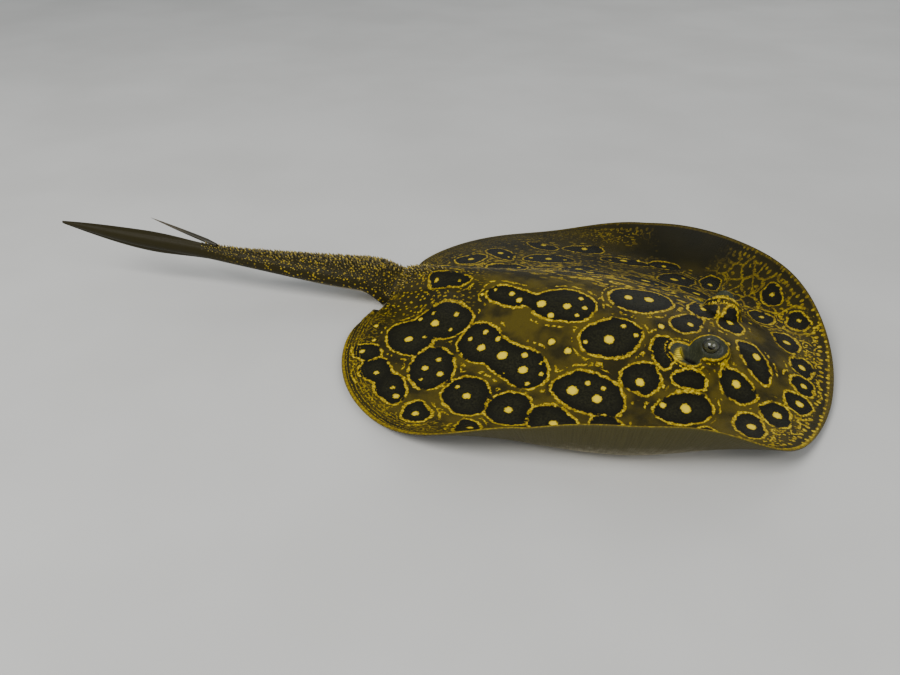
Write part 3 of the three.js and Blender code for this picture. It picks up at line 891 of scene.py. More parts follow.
class Paint:
    def __init__(self, name, **constants):
        self.material = bpy.data.materials.new(name)
        self.material.use_nodes = True
        self.tree = self.material.node_tree
        self.tree.nodes.clear()
        self.shader = self.tree.nodes.new("ShaderNodeBsdfPrincipled")
        end = self.tree.nodes.new("ShaderNodeOutputMaterial")
        self.tree.links.new(self.shader.outputs[0], end.inputs[0])
        for key, value in constants.items():
            self.shader.inputs[key.replace("_", " ")].default_value = value

    def node(self, kind, settings, inputs, out=0):
        made = self.tree.nodes.new(kind)
        for key, value in settings.items():
            setattr(made, key, value)
        for key, value in inputs.items():
            self.feed(made.inputs[key], value)
        return Wire(self, made.outputs[out])

    def feed(self, socket, value):
        if isinstance(value, Wire):
            self.tree.links.new(value.socket, socket)
        else:
            socket.default_value = value

    def finish(self, **sockets):
        for key, value in sockets.items():
            self.feed(self.shader.inputs[key.replace("_", " ")], value)
        return self.material

    def layer(self, name):
        return self.node("ShaderNodeAttribute", {"attribute_name": name}, {}, out="Vector")

    def place(self):
        metres = self.node("ShaderNodeTexCoord", {}, {}, out="Object")
        return self.node("ShaderNodeVectorMath", {"operation": "SCALE"}, {0: metres, "Scale": 1000})

    def noise(self, where, scale, detail=2.0):
        return self.node("ShaderNodeTexNoise", {}, {"Vector": where, "Scale": scale, "Detail": detail})

    def cells(self, where, scale, randomness=1.0, flat=False, feature="F1"):
        settings = {"voronoi_dimensions": "2D" if flat else "3D", "feature": feature}
        inputs = {"Vector": where, "Scale": scale, "Randomness": randomness}
        return self.node("ShaderNodeTexVoronoi", settings, inputs, out="Distance")

    def vector(self, x, y, z=0.0):
        return self.node("ShaderNodeCombineXYZ", {}, {0: x, 1: y, 2: z})

    def mix(self, share, first, second):
        inputs = {0: share, 6: colour(first), 7: colour(second)}
        return self.node("ShaderNodeMix", {"data_type": "RGBA"}, inputs, out=2)

    def bump(self, height, strength, distance=mm):
        inputs = {"Height": height, "Strength": strength, "Distance": distance}
        return self.node("ShaderNodeBump", {}, inputs)


def colour(value):
    return value if isinstance(value, Wire) else (*value, 1.0)


# Skin colours and finish

skinLook = {
    "blotch": (0.0062, 0.0058, 0.0020), "blotchMiddle": (0.018, 0.017, 0.0064),
    "between": (0.082, 0.060, 0.0045), "betweenDark": (0.020, 0.0160, 0.0030),
    "gold": (0.64, 0.455, 0.010), "goldDeep": (0.33, 0.215, 0.005), "spot": (0.82, 0.60, 0.016),
    "orbit": (0.030, 0.034, 0.019), "orbitStreak": (0.085, 0.085, 0.040),
    "belly": (0.56, 0.50, 0.36), "bellyDusk": (0.066, 0.057, 0.017),
    # the last colour on the next line is painted shade, for the hollows and the lids' gap
    "tail": (0.021, 0.0170, 0.0052), "tailFleck": (0.36, 0.25, 0.012), "inside": (0.006, 0.005, 0.004),
    "roughness": 0.5, "specular": 0.12, "wetCoat": 0.6, "coatRoughness": 0.2,
}
# in millimetres; a step is the length of one mark, waveFrom and the like are where a part begins
skinMarks = {
    "lineHalf": 1.1, "lineVary": 2.0, "ringWander": (4.6, 2.0), "twinAt": 6.0, "spotWander": 3.0,
    "barStep": 6.5, "barDepth": 8.0, "netStep": 8.5, "netDepth": 7.0, "patchStep": 14,
    "dashStep": (20, 7.5), "ridgeStep": (26, 11), "speckStep": 4.8, "fleckStep": 3.6,
    "edgeAt": 1.1, "waveFrom": (-20, 20), "waveTo": (92, 132), "waveSide": (168, 190),
    "tailRoot": 24, "fleckEnd": (110, 215),
}


class SkinPaint(Paint):
    def __init__(self):
        super().__init__("ray_skin_paint", Specular_IOR_Level=skinLook["specular"],
                         Coat_Roughness=skinLook["coatRoughness"], Coat_IOR=1.38)
        self.at = self.place()
        self.x, self.y, self.underside = self.layer("flatPlace").split()
        self.ring, self.spot, self.wall = self.layer("marks").split()
        self.rimRun, self.rimIn, self.tailRun = self.layer("ways").split()
        self.hollow, self.eyeZone, self.wet = self.layer("forms").split()
        self.broad = self.noise(self.at, 0.035, 3)
        self.medium = self.noise(self.at, 0.16)
        self.small = self.noise(self.at, 0.55)
        self.fine = self.noise(self.at, 1.5)
        bright = self.noise(self.at, 0.42, 1).smooth(0.42, 0.62)
        self.gold = self.mix(bright, skinLook["goldDeep"], skinLook["gold"])
        self.placeRings()
        self.placeZones()

    def placeRings(self):
        # gold lines round the blotches, thinner on the far wing, and the spots
        wander = skinMarks["ringWander"]
        self.wavy = self.ring + (self.medium - 0.5) * wander[0] + (self.small - 0.5) * wander[1]
        vary = (self.noise(self.at, 0.3, 1) - 0.5) * skinMarks["lineVary"]
        self.half = skinMarks["lineHalf"] + vary - self.y.smooth(60, 170) * 0.35
        self.line = (abs(self.wavy) - self.half).fall(-0.5, 0.5)
        self.line = self.line * self.noise(self.at, 0.105, 1).smooth(0.33, 0.41)
        self.clear = self.wavy.smooth(2.2, 3.6)
        self.onSpot = (self.spot + (self.small - 0.5) * skinMarks["spotWander"]).fall(-0.7, 0.5)

    def placeZones(self):
        # parts of the body that are painted differently; the far margin's raised wave gets painted shade
        ragged = self.x + (self.broad - 0.5) * 90 + (self.medium - 0.5) * 30
        self.shadedWave = ragged.smooth(*skinMarks["waveFrom"]) * ragged.fall(*skinMarks["waveTo"])
        self.shadedWave = self.shadedWave * self.y.smooth(*skinMarks["waveSide"])
        self.farFront = self.x.smooth(80, 120) * self.y.smooth(50, 80)
        self.farBack = self.y.smooth(0, 26) * self.y.fall(112, 150) * self.x.fall(84, 112)
        self.farBack = self.farBack * self.clear * self.eyeZone.smooth(10, 16)
        self.rear = abs(self.rimRun).smooth(400, 440)
        self.front = abs(self.rimRun).fall(250, 330)
        self.byRoot = (0 - self.x).smooth(96, 140) * abs(self.y).fall(34, 76)

    def marginBars(self):
        # short bars along the rim
        where = self.vector(self.rimRun / skinMarks["barStep"], self.rimIn / skinMarks["barDepth"] + 0.1)
        bars = self.cells(where, 1.0, 0.45, flat=True).fall(0.19, 0.30)
        bars = bars * self.rimIn.smooth(0.1, 0.8) * self.rimIn.fall(9, 13) * self.clear
        return bars * (1 - self.rear * 0.8) * (0.55 + 0.45 * self.front)

    def marginNet(self):
        # inside the bars, a broken net with a dot in some meshes
        where = self.vector(self.rimRun / skinMarks["netStep"], self.rimIn / skinMarks["netDepth"])
        net = self.cells(where, 1.0, 0.9, flat=True, feature="DISTANCE_TO_EDGE") + (self.small - 0.5) * 0.12
        net = net.fall(0.05, 0.12) * self.noise(self.at, 0.19, 1).smooth(0.46, 0.51)
        dots = self.cells(where, 1.0, 0.9, flat=True).fall(0.12, 0.22) * self.medium.smooth(0.46, 0.52)
        inNet = (self.rimIn + (self.medium - 0.5) * 24).fall(24, 34) * self.rimIn.smooth(7, 11)
        return net.most(dots) * inNet * self.clear * (1 - self.farFront) * (1 - self.rear * 0.6)

    def shoulderPatches(self):
        # angular dark patches with faint edges on the far shoulder
        where = self.vector(self.x + (self.medium - 0.5) * 9, self.y * 0.8 + (self.broad - 0.5) * 9)
        scale = 1 / skinMarks["patchStep"]
        edge = self.cells(where, scale, 0.9, flat=True, feature="DISTANCE_TO_EDGE").fall(0.045, 0.11)
        dots = self.cells(where, scale, 0.9, flat=True).fall(0.1, 0.17) * self.medium.smooth(0.42, 0.5)
        patches = (edge * self.small.smooth(0.34, 0.44)).most(dots)
        return patches * self.farFront * self.rimIn.smooth(7, 11) * self.clear

    def farDashes(self):
        # dashes and thin lines over the far wing
        run, inward = skinMarks["dashStep"]
        where = self.vector(self.rimRun / run, self.rimIn / inward)
        dashes = self.cells(where, 1.0, 0.8, flat=True).fall(0.1, 0.22)
        dashes = dashes * self.clear * self.rimIn.smooth(12, 24) * self.y.smooth(70, 120)
        dashes = dashes * self.noise(self.at, 0.05, 1).smooth(0.44, 0.5)
        along, across = skinMarks["ridgeStep"]
        where = self.vector(self.x / along, self.y / across)
        ridge = self.cells(where, 1.0, 0.95, flat=True).fall(0.11, 0.21)
        where = self.vector(self.x * 0.25, self.y + (self.medium - 0.5) * 8)
        contour = abs(self.noise(where, 0.06, 1) - 0.5).fall(0.014, 0.034) * self.medium.smooth(0.4, 0.48)
        ridge = ridge.most(contour) * self.farBack * (0 - self.x).fall(150, 190)
        return dashes.most(ridge) * (1 - self.farFront)

    def rearStripes(self):
        stripes = (self.rimIn * 2.05 + (self.medium - 0.5) * 5).wave().smooth(0.5, 0.85)
        return stripes * self.rimIn.fall(13, 20) * self.rear * self.small.smooth(0.42, 0.52) * 0.6

    def minorMarks(self):
        twin = abs(self.wavy - skinMarks["twinAt"]).fall(0.5, 1.3)
        twin = twin * self.noise(self.at, 0.06, 1).smooth(0.5, 0.54)
        twin = twin * self.noise(self.at, 0.24, 1).smooth(0.42, 0.5)
        minor = self.marginBars().most(self.marginNet()).most(self.shoulderPatches())
        # no minor marks in the far wave's painted shade
        minor = minor.most(self.farDashes()).most(twin).most(self.rearStripes()) * (1 - self.shadedWave)
        # marks fade towards the far side, as painted shade
        minor = minor * self.eyeZone.smooth(6, 9) * (1 - 0.45 * self.y.smooth(60, 160))
        specks = self.cells(self.vector(self.x * 0.75, self.y * 1.3), 1 / skinMarks["speckStep"], flat=True)
        specks = specks.fall(0.14, 0.26) * self.clear * self.byRoot * self.medium.smooth(0.36, 0.46)
        edge = abs(self.rimIn - skinMarks["edgeAt"]).fall(0.7, 1.6)
        edge = edge * (0.2 + 0.6 * (0 - self.rimRun).smooth(60, 120) * (1 - 0.5 * self.rear))
        return minor.most(specks).most(edge)

    def backColour(self):
        blotch = self.mix((0 - self.wavy).smooth(1.5, 12) * self.small.smooth(0.3, 0.7),
                          skinLook["blotch"], skinLook["blotchMiddle"])
        between = self.mix(self.broad.smooth(0.36, 0.62), skinLook["betweenDark"], skinLook["between"])
        between = self.mix(self.fine.smooth(0.35, 0.7) * 0.3, between, skinLook["betweenDark"])
        # the ground between the marks is darker near the rim, by the tail root, towards the rear and on the
        # far shoulder, with painted shade on the far wave and towards the far side
        behind = (0 - self.x + (self.medium - 0.5) * 40).smooth(110, 170)
        darkGroundAndShade = self.shadedWave.most(self.rimIn.fall(4, 20)).most(self.y.smooth(0, 60) * 0.75)
        darkGroundAndShade = darkGroundAndShade.most(self.byRoot * 0.8).most(behind * 0.7).most(self.farFront * 0.8)
        between = self.mix(darkGroundAndShade * 0.8, between, skinLook["betweenDark"])
        # the far wave is darkened further, as painted shade
        between = self.mix(self.shadedWave * 0.6, between, skinLook["blotch"])
        back = self.mix(self.wavy.smooth(-0.6, 0.6), blotch, between)
        back = self.mix(self.minorMarks() * 0.85, back, self.gold)
        beaded = 0.55 + 0.45 * self.noise(self.at, 0.62, 1).smooth(0.38, 0.5)
        back = self.mix(self.line * beaded, back, self.gold)
        back = self.mix(self.spot.fall(0.2, 3.0) * 0.5, back, skinLook["blotch"])
        core = (0 - self.spot + (self.small - 0.5) * skinMarks["spotWander"]).smooth(0.1, 2.2)
        return self.mix(self.onSpot, back, self.mix(core, skinLook["gold"], skinLook["spot"]))

    def lids(self, back):
        # smooth grey lids with gold lines round them, and a striped wall behind the spiracle
        zone = self.eyeZone + (self.small - 0.5) * 1.6 + (self.medium - 0.5) * 2.4
        streaks = self.noise(self.vector(self.x * 1.3, self.y * 0.5), 1.0, 2)
        lid = self.mix(streaks.smooth(0.5, 0.68) * 0.4, skinLook["orbit"], skinLook["orbitStreak"])
        freckles = self.fine.smooth(0.5, 0.7) * self.medium.smooth(0.5, 0.6) * 0.6
        lid = self.mix(freckles, lid, skinLook["orbitStreak"])
        back = self.mix(zone.fall(-0.6, 0.6), back, lid)
        inner = (abs(zone - 1.0) - self.half * 0.8).fall(-0.5, 0.5)
        outer = (abs(zone - 4.6) - self.half * 0.6).fall(-0.5, 0.5) * self.small.smooth(0.46, 0.52)
        back = self.mix(inner.most(outer) * self.medium.smooth(0.34, 0.42), back, self.gold)
        stripes = (abs(self.y) * 3.4 + self.small * 3).wave().smooth(-0.5, 0.3)
        return self.mix(self.wall * (0.35 + 0.65 * stripes), back, skinLook["spot"])

    def belly(self):
        # pale, dusky towards the margin and under the tail
        dusk = (self.rimIn + (self.medium - 0.5) * 26 + (self.small - 0.5) * 10).fall(22, 74)
        dusk = dusk * (1 - (0 - self.x).smooth(132, 165) * abs(self.y).fall(20, 36))
        belly = self.mix(dusk.most(self.tailRun.smooth(10, 110)), skinLook["belly"], skinLook["bellyDusk"])
        belly = self.mix(self.broad.smooth(0.3, 0.7) * 0.25, belly, skinLook["bellyDusk"])
        belly = self.mix(self.cells(self.at, 0.3).fall(0.1, 0.2) * 0.25, belly, skinLook["bellyDusk"])
        spokes = self.noise(self.vector(self.rimRun * 0.9, self.rimIn * 0.035), 1.0, 2).smooth(0.4, 0.65)
        return self.mix(spokes * self.rimIn.fall(40, 90) * 0.3, belly, skinLook["betweenDark"])

    def whole(self):
        back = self.lids(self.backColour())
        # painted shade towards the far side; the tail root is darker too
        farSideShade = (self.y + (self.broad - 0.5) * 60).smooth(30, 150) * 0.42
        back = self.mix(farSideShade.most(self.byRoot * 0.3), back, skinLook["blotch"])
        onTail = (self.tailRun + (self.medium - 0.5) * skinMarks["tailRoot"]).smooth(-14, 14)
        back = self.mix(onTail, back, tailColour(self, self.at, self.tailRun, self.broad, self.medium))
        body = self.mix((self.underside + (self.small - 0.5) * 0.5).smooth(0.42, 0.72), back, self.belly())
        # painted shade in the spiracles, mouth, nostrils, gill slits and vent
        hollowShade = self.hollow.smooth(0.15, 0.7) * (1 - self.wall * 0.8) * 0.95
        body = self.mix(hollowShade, body, skinLook["inside"])
        # painted shade in the lids' gap round the eyeball
        body = self.mix(self.wet * 0.25, body, skinLook["inside"])
        grain = self.noise(self.at, 2.6, 3)
        bumps = self.cells(self.at, 0.55).fall(0.05, 0.5)
        ribs = (self.rimRun * 1.9 + (self.medium - 0.5) * 7).wave() * self.rimIn.fall(12, 66)
        ribs = ribs * (0.35 + 0.65 * self.underside)
        height = grain * 0.35 + bumps * 0.22 + ribs * 0.14 + self.onSpot * 0.12 + self.line * 0.08
        roughness = skinLook["roughness"] + (grain - 0.5) * 0.35 + self.underside * 0.08 - self.wet * 0.2
        return self.finish(Base_Color=body, Roughness=roughness, Coat_Weight=self.wet * skinLook["wetCoat"],
                           Normal=self.bump(height, 0.45))


def tailColour(paint, place, run, broad, medium):
    # dark, with gold flecks that thin out towards the blade
    flecks = paint.cells(place, 1 / skinMarks["fleckStep"]).fall(0.2, 0.34) * medium.smooth(0.34, 0.48)
    dark = paint.mix(broad.smooth(0.35, 0.65), skinLook["tail"], skinLook["betweenDark"])
    return paint.mix(flecks * run.fall(*skinMarks["fleckEnd"]), dark, skinLook["tailFleck"])


raySkinPaint = SkinPaint().whole()
raySkin.data.materials.append(raySkinPaint)
print("skin painted")

# Eyeballs: grey-gold iris, and a fringed flap that closes the pupil to a crescent

eyeLook = {
    "white": (0.018, 0.018, 0.011), "iris": (0.036, 0.040, 0.024), "irisStreak": (0.105, 0.098, 0.042),
    "pupil": (0.002, 0.002, 0.003), "pupilWide": 0.40, "pupilHigh": 0.30,
    "flapBend": 1.1, "fringes": 46, "fringeLength": 0.025,
    "irisEnd": (40, 47),  # degrees from the line of sight
    "corneaBulge": 0.35, "play": 0.15,  # how much the ball is smaller than its socket
    "around": 64, "steps": 40, "roughness": 0.16, "coat": 0.6, "coatRoughness": 0.1,
}


def eyePaint():
    look = eyeLook
    paint = Paint("eye_paint", Coat_Weight=look["coat"], Coat_Roughness=look["coatRoughness"],
                  Coat_IOR=1.38)
    across, up, angle = paint.layer("gaze").split()
    turn = up.math("ARCTAN2", across)
    streaks = paint.noise(paint.vector(turn * 7, angle * 0.03), 1.0, 3).smooth(0.45, 0.7)
    specks = paint.cells(paint.place(), 1.3).fall(0.12, 0.32)
    iris = paint.mix(streaks.most(specks * 0.7), look["iris"], look["irisStreak"])
    wide, high = across / look["pupilWide"], up / look["pupilHigh"]
    reach = (wide * wide + high * high).math("SQRT")
    fringe = (across * look["fringes"]).wave() * look["fringeLength"]
    flap = (up + 0.04 - across * across * look["flapBend"] + fringe).smooth(-0.012, 0.012)
    pupil = reach.fall(0.95, 1.02) * (1 - flap)
    goldEdge = abs(reach - 1.06).fall(0.04, 0.11) * 0.8
    ball = paint.mix(goldEdge, iris, look["irisStreak"])
    ball = paint.mix(pupil, ball, look["pupil"])
    ball = paint.mix(angle.smooth(*look["irisEnd"]), ball, look["white"])
    grain = paint.noise(paint.place(), 5.0, 2)
    return paint.finish(Base_Color=ball, Roughness=look["roughness"] + grain * 0.1)


def tubeFaces(rings, around):
    # rings of points joined into a tube, then one point that closes each end
    first, last = rings * around, rings * around + 1
    faces = []
    for k in range(around):
        j = (k + 1) % around
        faces.append((first, k, j))
        faces.append((last, (rings - 1) * around + j, (rings - 1) * around + k))
        for i in range(rings - 1):
            faces.append((i * around + k, (i + 1) * around + k, (i + 1) * around + j, i * around + j))
    return faces


def buildEye(name, side, material):
    around = eyeLook["around"]
    axis, along, upward = gazeOf(side)
    centre = np.array([eye["x"], side * eye["y"], eye["z"]])
    turns = np.arange(around) * 2 * math.pi / around
    polarAngles = np.linspace(0, 180, eyeLook["steps"] + 1)[1:-1]
    small = eye["radius"] - eyeLook["play"]
    points, gaze = [], []
    for polarAngle in polarAngles:
        radius = small + eyeLook["corneaBulge"] * bell(polarAngle, 26, 2)
        out = math.sin(polarAngle * degree)
        for turn in turns:
            c, s = math.cos(turn), math.sin(turn)
            way = axis * math.cos(polarAngle * degree) + out * (along * c + upward * s)
            points.append(centre + way * radius)
            gaze.append((out * c, out * s, polarAngle))
    points += [centre + axis * (small + eyeLook["corneaBulge"]), centre - axis * small]
    gaze = np.array(gaze + [(0, 0, 0), (0, 0, 180)])
    piece = newPiece(name, points, tubeFaces(len(polarAngles), around))
    vectorLayer(piece.data, "gaze", *gaze.T)
    spread = gaze[:, 2] / 180 * 0.48 / np.maximum(np.hypot(gaze[:, 0], gaze[:, 1]), 1e-4)
    uv = np.stack([0.5 + gaze[:, 0] * spread, 0.5 + gaze[:, 1] * spread], -1)
    bakeLayer(piece.data, uv[cornerPoints(piece.data)])
    turnOutward(piece)
    piece.data.materials.append(material)
    return piece


eyeMaterial = eyePaint()
for eyeName, eyeSide in (("left", 1), ("right", -1)):
    eyeball = buildEye("eyeball_" + eyeName, eyeSide, eyeMaterial)
    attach(eyeball, "root")
    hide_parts("eye_" + eyeName)
print("eyes set")

# The sting: a flat barbed spine with a row of teeth on each side

sting = {
    "base": (-396, -61, 58), "tip": (-484, -51, 67.5), "width": 6.5, "thickness": 4, "rootDepth": 6,
    "teeth": 26, "toothOut": 0.75, "toothFrom": 0.3, "toothHook": 0.9,
    "groove": 0.22, "grooveDepth": 0.22,  # share of the half width, share of the thickness
    "stations": 300, "around": 24,
    "bone": (0.080, 0.060, 0.028), "boneDark": (0.026, 0.021, 0.010), "boneTip": (0.13, 0.10, 0.055),
    "sheathEnd": (34, 62), "tipFrom": (70, 92), "roughness": 0.38,
}


def buildSting():
    base, tip = np.array(sting["base"], float), np.array(sting["tip"], float)
    ahead = (tip - base) / np.linalg.norm(tip - base)
    side = np.array([ahead[1], -ahead[0], 0])
    side /= np.linalg.norm(side)
    up = np.cross(side, ahead)
    up *= np.sign(up[2])
    start = base - ahead * sting["rootDepth"]
    length = np.linalg.norm(tip - start)
    stations, around = np.linspace(0.0, 0.997, sting["stations"]), sting["around"]
    points, ways = [], []
    for share in stations:
        slim = (1 - share ** 2.2) * min(1, 0.55 + share * 3)
        tooth = 0
        if share > sting["toothFrom"]:
            toothRun = (share - sting["toothFrom"]) / (1 - sting["toothFrom"]) * sting["teeth"]
            tooth = sting["toothOut"] * (1 - toothRun % 1) ** 1.5 * min(1, slim * 3)
        middle = start + ahead * share * length
        out = sting["width"] / 2 * slim - 0.45 * min(1, slim * 2) + 0.15
        for k in range(around):
            turn = 2 * math.pi * k / around
            c, s = math.cos(turn), math.sin(turn)
            lift = (sting["thickness"] / 2 * slim + 0.12) * s
            lift *= 1 - sting["grooveDepth"] * math.exp(-(c / sting["groove"]) ** 2) * (1 if s > 0 else 0.5)
            width = out * c + math.copysign(tooth * abs(c) ** 9, c)
            hook = tooth * abs(c) ** 9 * sting["toothHook"]
            points.append(middle + side * width + up * lift - ahead * hook)
            ways.append((share * length, turn / (2 * math.pi), s))
    points += [start - ahead * 0.3, tip]
    ways += [(0, 0, 0), (length, 0, 0)]
    piece = newPiece("sting_spine", points, tubeFaces(len(stations), around))
    vectorLayer(piece.data, "spine", *np.array(ways).T)
    turnOutward(piece)
    return piece


def stingPaint():
    paint = Paint("sting_paint", Specular_IOR_Level=0.5)
    run, around = paint.layer("spine").split()[:2]
    grooves = paint.noise(paint.vector(run * 0.05, around * 26), 1.0, 3)
    bone = paint.mix(grooves.smooth(0.35, 0.65), sting["boneDark"], sting["bone"])
    sheath = (run + (paint.noise(paint.place(), 0.4) - 0.5) * 18).fall(*sting["sheathEnd"])
    bone = paint.mix(sheath * 0.9, bone, skinLook["tail"])
    bone = paint.mix(run.smooth(*sting["tipFrom"]) * 0.5, bone, sting["boneTip"])
    return paint.finish(Base_Color=bone, Roughness=sting["roughness"] + grooves * 0.2,
                        Normal=paint.bump(grooves, 0.4, 0.5 * mm))


stingSpine = buildSting()
stingSpine.data.materials.append(stingPaint())
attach(stingSpine, "root")
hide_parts("sting")
print("sting set")

# Thorns on the tail and fine denticles on the back, real geometry rooted in the skin

thorn = {
    "from": -46, "reach": 214, "spacing": 3.3, "tries": 8000, "spread": 0.42, "cell": 4,
    "bigRadius": 2.4, "smallRadius": 1.7, "bigHeight": 5.0, "smallHeight": 2.8, "lean": 0.8,
    "points": 7, "sink": 0.7,
    "rings": [(1.0, 0.0, 0.0), (0.62, 0.22, 0.05), (0.34, 0.58, 0.3)],  # size, lift, push backward
    "horn": (0.42, 0.31, 0.035), "hornDark": (0.075, 0.056, 0.014), "roughness": 0.36,
}
denticle = {
    "count": 2600, "radius": 0.62, "height": 0.42, "lean": 0.5, "points": 3,
    "reach": 170, "far": 0.86, "band": 60,  # degrees, share of the way to the rim, half width
    "bare": (104, 44, 34, 20),  # no denticles round an eye: x, y, half length, half width
}


def starThorn(radius, height, lean, points, spin):
    # a star-footed cone whose tip hooks backward; +X is backward, +Z off the skin
    count = points * 2
    corners, shares = [], []
    for size, lift, push in thorn["rings"]:
        for k in range(count):
            star = 1.0 if k % 2 == 0 else lerp(0.72, 0.95, lift)
            turn = spin + 2 * math.pi * k / count
            corners.append((math.cos(turn) * radius * size * star + push * lean * radius,
                            math.sin(turn) * radius * size * star, lift * height))
            shares.append(lift)
    corners += [(lean * radius * 1.15, 0, height), (0, 0, -thorn["sink"])]
    shares += [1.0, 0.0]
    tip, foot = len(corners) - 2, len(corners) - 1
    last = tip - count
    faces = []
    for k in range(count):
        j = (k + 1) % count
        faces.append((foot, j, k))
        for a in range(0, last, count):
            b = a + count
            faces += [(a + k, a + j, b + j), (a + k, b + j, b + k)]
        faces.append((last + k, last + j, tip))
    return np.array(corners), faces, np.array(shares)


class ThornBed:
    # gathers many small rooted bodies into one mesh, each with its root's marks and bake patch
    def __init__(self):
        self.points, self.faces, self.layers, self.uv = [], [], [], []
        self.count = 0

    def add(self, shape, root, normal, backward, data, patch):
        corners, faces, shares = shape
        z = normal / np.linalg.norm(normal)
        x = backward - z * np.dot(backward, z)
        x /= np.linalg.norm(x)
        y = np.cross(z, x)
        self.points.append(root + corners @ np.stack([x, y, z]))
        self.faces += [tuple(self.count + i for i in face) for face in faces]
        self.layers.append(np.concatenate([np.tile(data, (len(corners), 1)), shares[:, None]], 1))
        flat = corners[:, :2] / max(np.abs(corners[:, :2]).max(), 1e-6) * 0.0015
        self.uv.append(np.array(patch) + flat)
        self.count += len(corners)

    def build(self, name):
        piece = newPiece(name, np.concatenate(self.points), self.faces, flatFaces=True)
        data = np.concatenate(self.layers)
        for k, layerName in enumerate(("flatPlace", "marks", "ways", "forms")):
            vectorLayer(piece.data, layerName, *data[:, 3 * k:3 * k + 3].T)
        vectorLayer(piece.data, "tipShare", data[:, -1], 0 * data[:, -1], 0 * data[:, -1])
        bakeLayer(piece.data, np.concatenate(self.uv)[cornerPoints(piece.data)])
        print(name + ":", len(self.points), "grown,", len(piece.data.polygons), "faces")
        return piece


class Crowd:
    # remembers rooted places in coarse cells, so that near ones are found quickly
    def __init__(self, cell):
        self.cell = cell
        self.cells = {}

    def fits(self, place, spacing):
        key = np.floor(place / self.cell).astype(int)
        near = [other for dx in (-1, 0, 1) for dy in (-1, 0, 1) for dz in (-1, 0, 1)
                for other in self.cells.get((key[0] + dx, key[1] + dy, key[2] + dz), ())]
        if any(np.linalg.norm(place - taken) < (spacing + room) / 2 for taken, room in near):
            return False
        self.cells.setdefault(tuple(key), []).append((place, spacing))
        return True


def growTailThorns():
    maker = np.random.default_rng(11)
    surface = BVHTree.FromPolygons([v.co for v in raySkin.data.vertices],
                                   [tuple(f.vertices) for f in raySkin.data.polygons])
    bed = ThornBed()
    crowd = Crowd(thorn["cell"])
    for _ in range(thorn["tries"]):
        run = maker.uniform(thorn["from"], thorn["reach"])
        place = math.sin(maker.uniform(-1.5, 1.5))
        fadeOut = 1 - smooth(run, thorn["reach"] - 80, thorn["reach"] + 10)
        fadeIn = smooth(run, thorn["from"], 12)
        if maker.uniform() > (0.2 + 0.8 * fadeOut) * (0.1 + 0.9 * fadeIn):
            continue
        if run < 6 and abs(place) > 0.25 + 0.75 * fadeIn:
            continue
        guess = tailSurface(np.array(max(run, 0.0)), np.array(place), 1) + (min(run, 0) * -1, 0, 3)
        found, normal = surface.find_nearest(Vector(guess * mm))[:2]
        root = np.array(found) / mm
        median = float(bell(place, thorn["spread"], 2))
        size = lerp(0.72, 1.0, median) * lerp(0.7, 1.0, fadeOut) * lerp(0.55, 1, fadeIn)
        size = size * maker.uniform(0.8, 1.15)
        if not crowd.fits(root, thorn["spacing"] * size):
            continue
        ahead = along3(tailAhead, np.array(max(run, 0.0) / tailLength))
        radius = lerp(thorn["smallRadius"], thorn["bigRadius"], median) * size
        height = lerp(thorn["smallHeight"], thorn["bigHeight"], median ** 1.5) * size
        height = height * maker.uniform(0.8, 1.15)
        shape = starThorn(radius, height, thorn["lean"], thorn["points"], maker.uniform(0, 1))
        around = (math.asin(place) / math.pi + 0.5) * 0.6
        data = np.array([root[0], root[1], 0, 30, 30, 0, 0, 120, run, 0, farAway, 0])
        patch = tailPatch(run, around) if run > 0 else discPatch(root[0], root[1])
        bed.add(shape, root, np.array(normal), ahead, data, patch)
    return bed.build("tail_thorns")


def growDenticles():
    maker = np.random.default_rng(5)
    bed = ThornBed()
    tries = denticle["count"] * 3
    angle = maker.uniform(-1, 1, tries) * denticle["reach"] * degree
    out = np.sqrt(maker.uniform(0, denticle["far"], tries))
    marginAtX, marginAtY = outline(angle)
    x, y = marginAtX * out, marginAtY * out
    keep = maker.uniform(size=tries) < 0.12 + 0.6 * bell(y, denticle["band"], 2)
    bareX, bareY, bareLong, bareWide = denticle["bare"]
    nearEye = np.hypot((x - bareX) / bareLong, (np.abs(y) - bareY) / bareWide) < 1
    x, y = (v[keep & ~nearEye][:denticle["count"]] for v in (x, y))
    ring, spot = backMarks(x, y)

    def surface(atX, atY):
        sheet, facing, share, way = bellySheet(atX, atY)
        top = sheet + facing * bodyThickness(atX, atY, share)[..., None]
        top[..., 2] = headForms(atX, atY, top[..., 2])[0]
        return top, share, way

    roots, share, way = surface(x, y)
    alongX, alongY = surface(x + 0.4, y)[0] - roots, surface(x, y + 0.4)[0] - roots
    normals = np.cross(alongX, alongY)
    rimRun, rimIn = marginPlace(x, y, way, share)
    for i in range(len(x)):
        size = maker.uniform(0.6, 1.25)
        shape = starThorn(denticle["radius"] * size, denticle["height"] * size, denticle["lean"],
                          denticle["points"], maker.uniform(0, 1))
        data = np.array([x[i], y[i], 0, ring[i], spot[i], 0, rimRun[i], rimIn[i], -40, 0, farAway, 0])
        bed.add(shape, roots[i], normals[i], np.array([-1.0, 0, 0]), data, discPatch(x[i], y[i]))
    return bed.build("back_denticles")


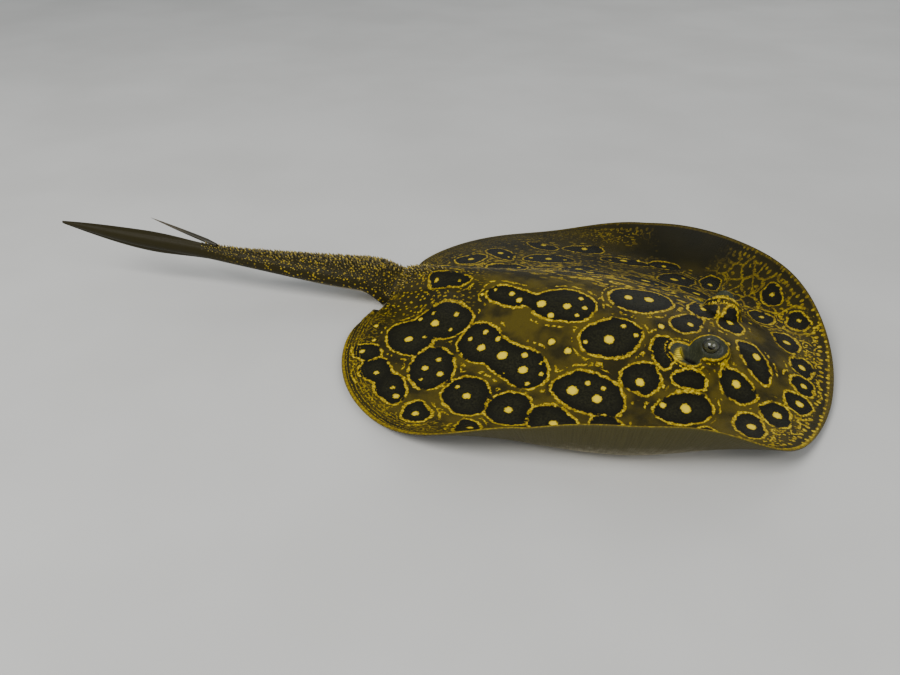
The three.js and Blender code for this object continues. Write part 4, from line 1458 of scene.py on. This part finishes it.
def thornPaint():
    paint = Paint("thorn_paint", Specular_IOR_Level=0.5)
    place = paint.place()
    tipShare = paint.layer("tipShare").split()[0]
    run = paint.layer("ways").split()[2]
    broad, medium = paint.noise(place, 0.035, 3), paint.noise(place, 0.16)
    horn = paint.mix(paint.noise(place, 0.35, 1).smooth(0.46, 0.56), thorn["hornDark"], thorn["horn"])
    base = tailColour(paint, place, run, broad, medium)
    base = paint.mix((tipShare + (medium - 0.5) * 0.5).smooth(0.05, 0.5), base, horn)
    grain = paint.noise(place, 3.0, 2)
    return paint.finish(Base_Color=base, Roughness=thorn["roughness"] + grain * 0.2,
                        Normal=paint.bump(grain, 0.3))


tailThorns = growTailThorns()
tailThorns.data.materials.append(thornPaint())
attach(tailThorns, "root")

backDenticles = growDenticles()
backDenticles.data.materials.append(raySkinPaint)
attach(backDenticles, "root")

# Plain pale floor, soft studio light, camera

studio = {
    "floorSize": 14, "floorColour": (0.62, 0.61, 0.58), "floorShade": (0.57, 0.56, 0.53),
    "sky": (0.90, 0.95, 1.0), "skyStrength": 0.42,
    "lamps": [  # name, place, size, watts
        ("key", (-0.9, -1.7, 2.0), 1.2, 60), ("fill", (1.8, -1.2, 1.5), 1.6, 22),
        ("rim", (0.3, 2.2, 1.6), 1.6, 9)],
    "aim": (-0.1, 0, 0.02),
}
view = {"place": (0.1385, -0.6637, 0.4194), "tilt": 58, "turn": 23.5, "lens": 32}


def buildStudio():
    half = studio["floorSize"] / 2
    mesh = bpy.data.meshes.new("studio_floor")
    corners = [(-half, -half, 0), (half, -half, 0), (half, half, 0), (-half, half, 0)]
    mesh.from_pydata(corners, [], [(0, 1, 2, 3)])
    floor = bpy.data.objects.new("studio_floor", mesh)
    bpy.context.scene.collection.objects.link(floor)
    paint = Paint("floor_paint")
    cloud = paint.noise(paint.place(), 0.004, 3)
    tone = paint.mix(cloud.smooth(0.3, 0.7), studio["floorShade"], studio["floorColour"])
    mesh.materials.append(paint.finish(Base_Color=tone, Roughness=0.75 + cloud * 0.1))
    for name, place, size, power in studio["lamps"]:
        lamp = bpy.data.lights.new(name, "AREA")
        lamp.shape = "DISK"
        lamp.size = size
        lamp.energy = power
        holder = bpy.data.objects.new(name + "_lamp", lamp)
        holder.location = place
        holder.rotation_euler = (Vector(studio["aim"]) - Vector(place)).to_track_quat("-Z", "Y").to_euler()
        bpy.context.scene.collection.objects.link(holder)
    world = bpy.data.worlds.new("studio_sky")
    world.use_nodes = True
    background = world.node_tree.nodes["Background"]
    background.inputs["Color"].default_value = (*studio["sky"], 1)
    background.inputs["Strength"].default_value = studio["skyStrength"]
    bpy.context.scene.world = world


def buildCamera():
    lens = bpy.data.cameras.new("view_camera")
    lens.lens = view["lens"]
    lens.sensor_width = 36
    lens.clip_start = 0.01
    camera = bpy.data.objects.new("view_camera", lens)
    camera.location = view["place"]
    camera.rotation_euler = (view["tilt"] * degree, 0, view["turn"] * degree)
    bpy.context.scene.collection.objects.link(camera)
    bpy.context.scene.camera = camera


buildStudio()
buildCamera()
print("studio ready")
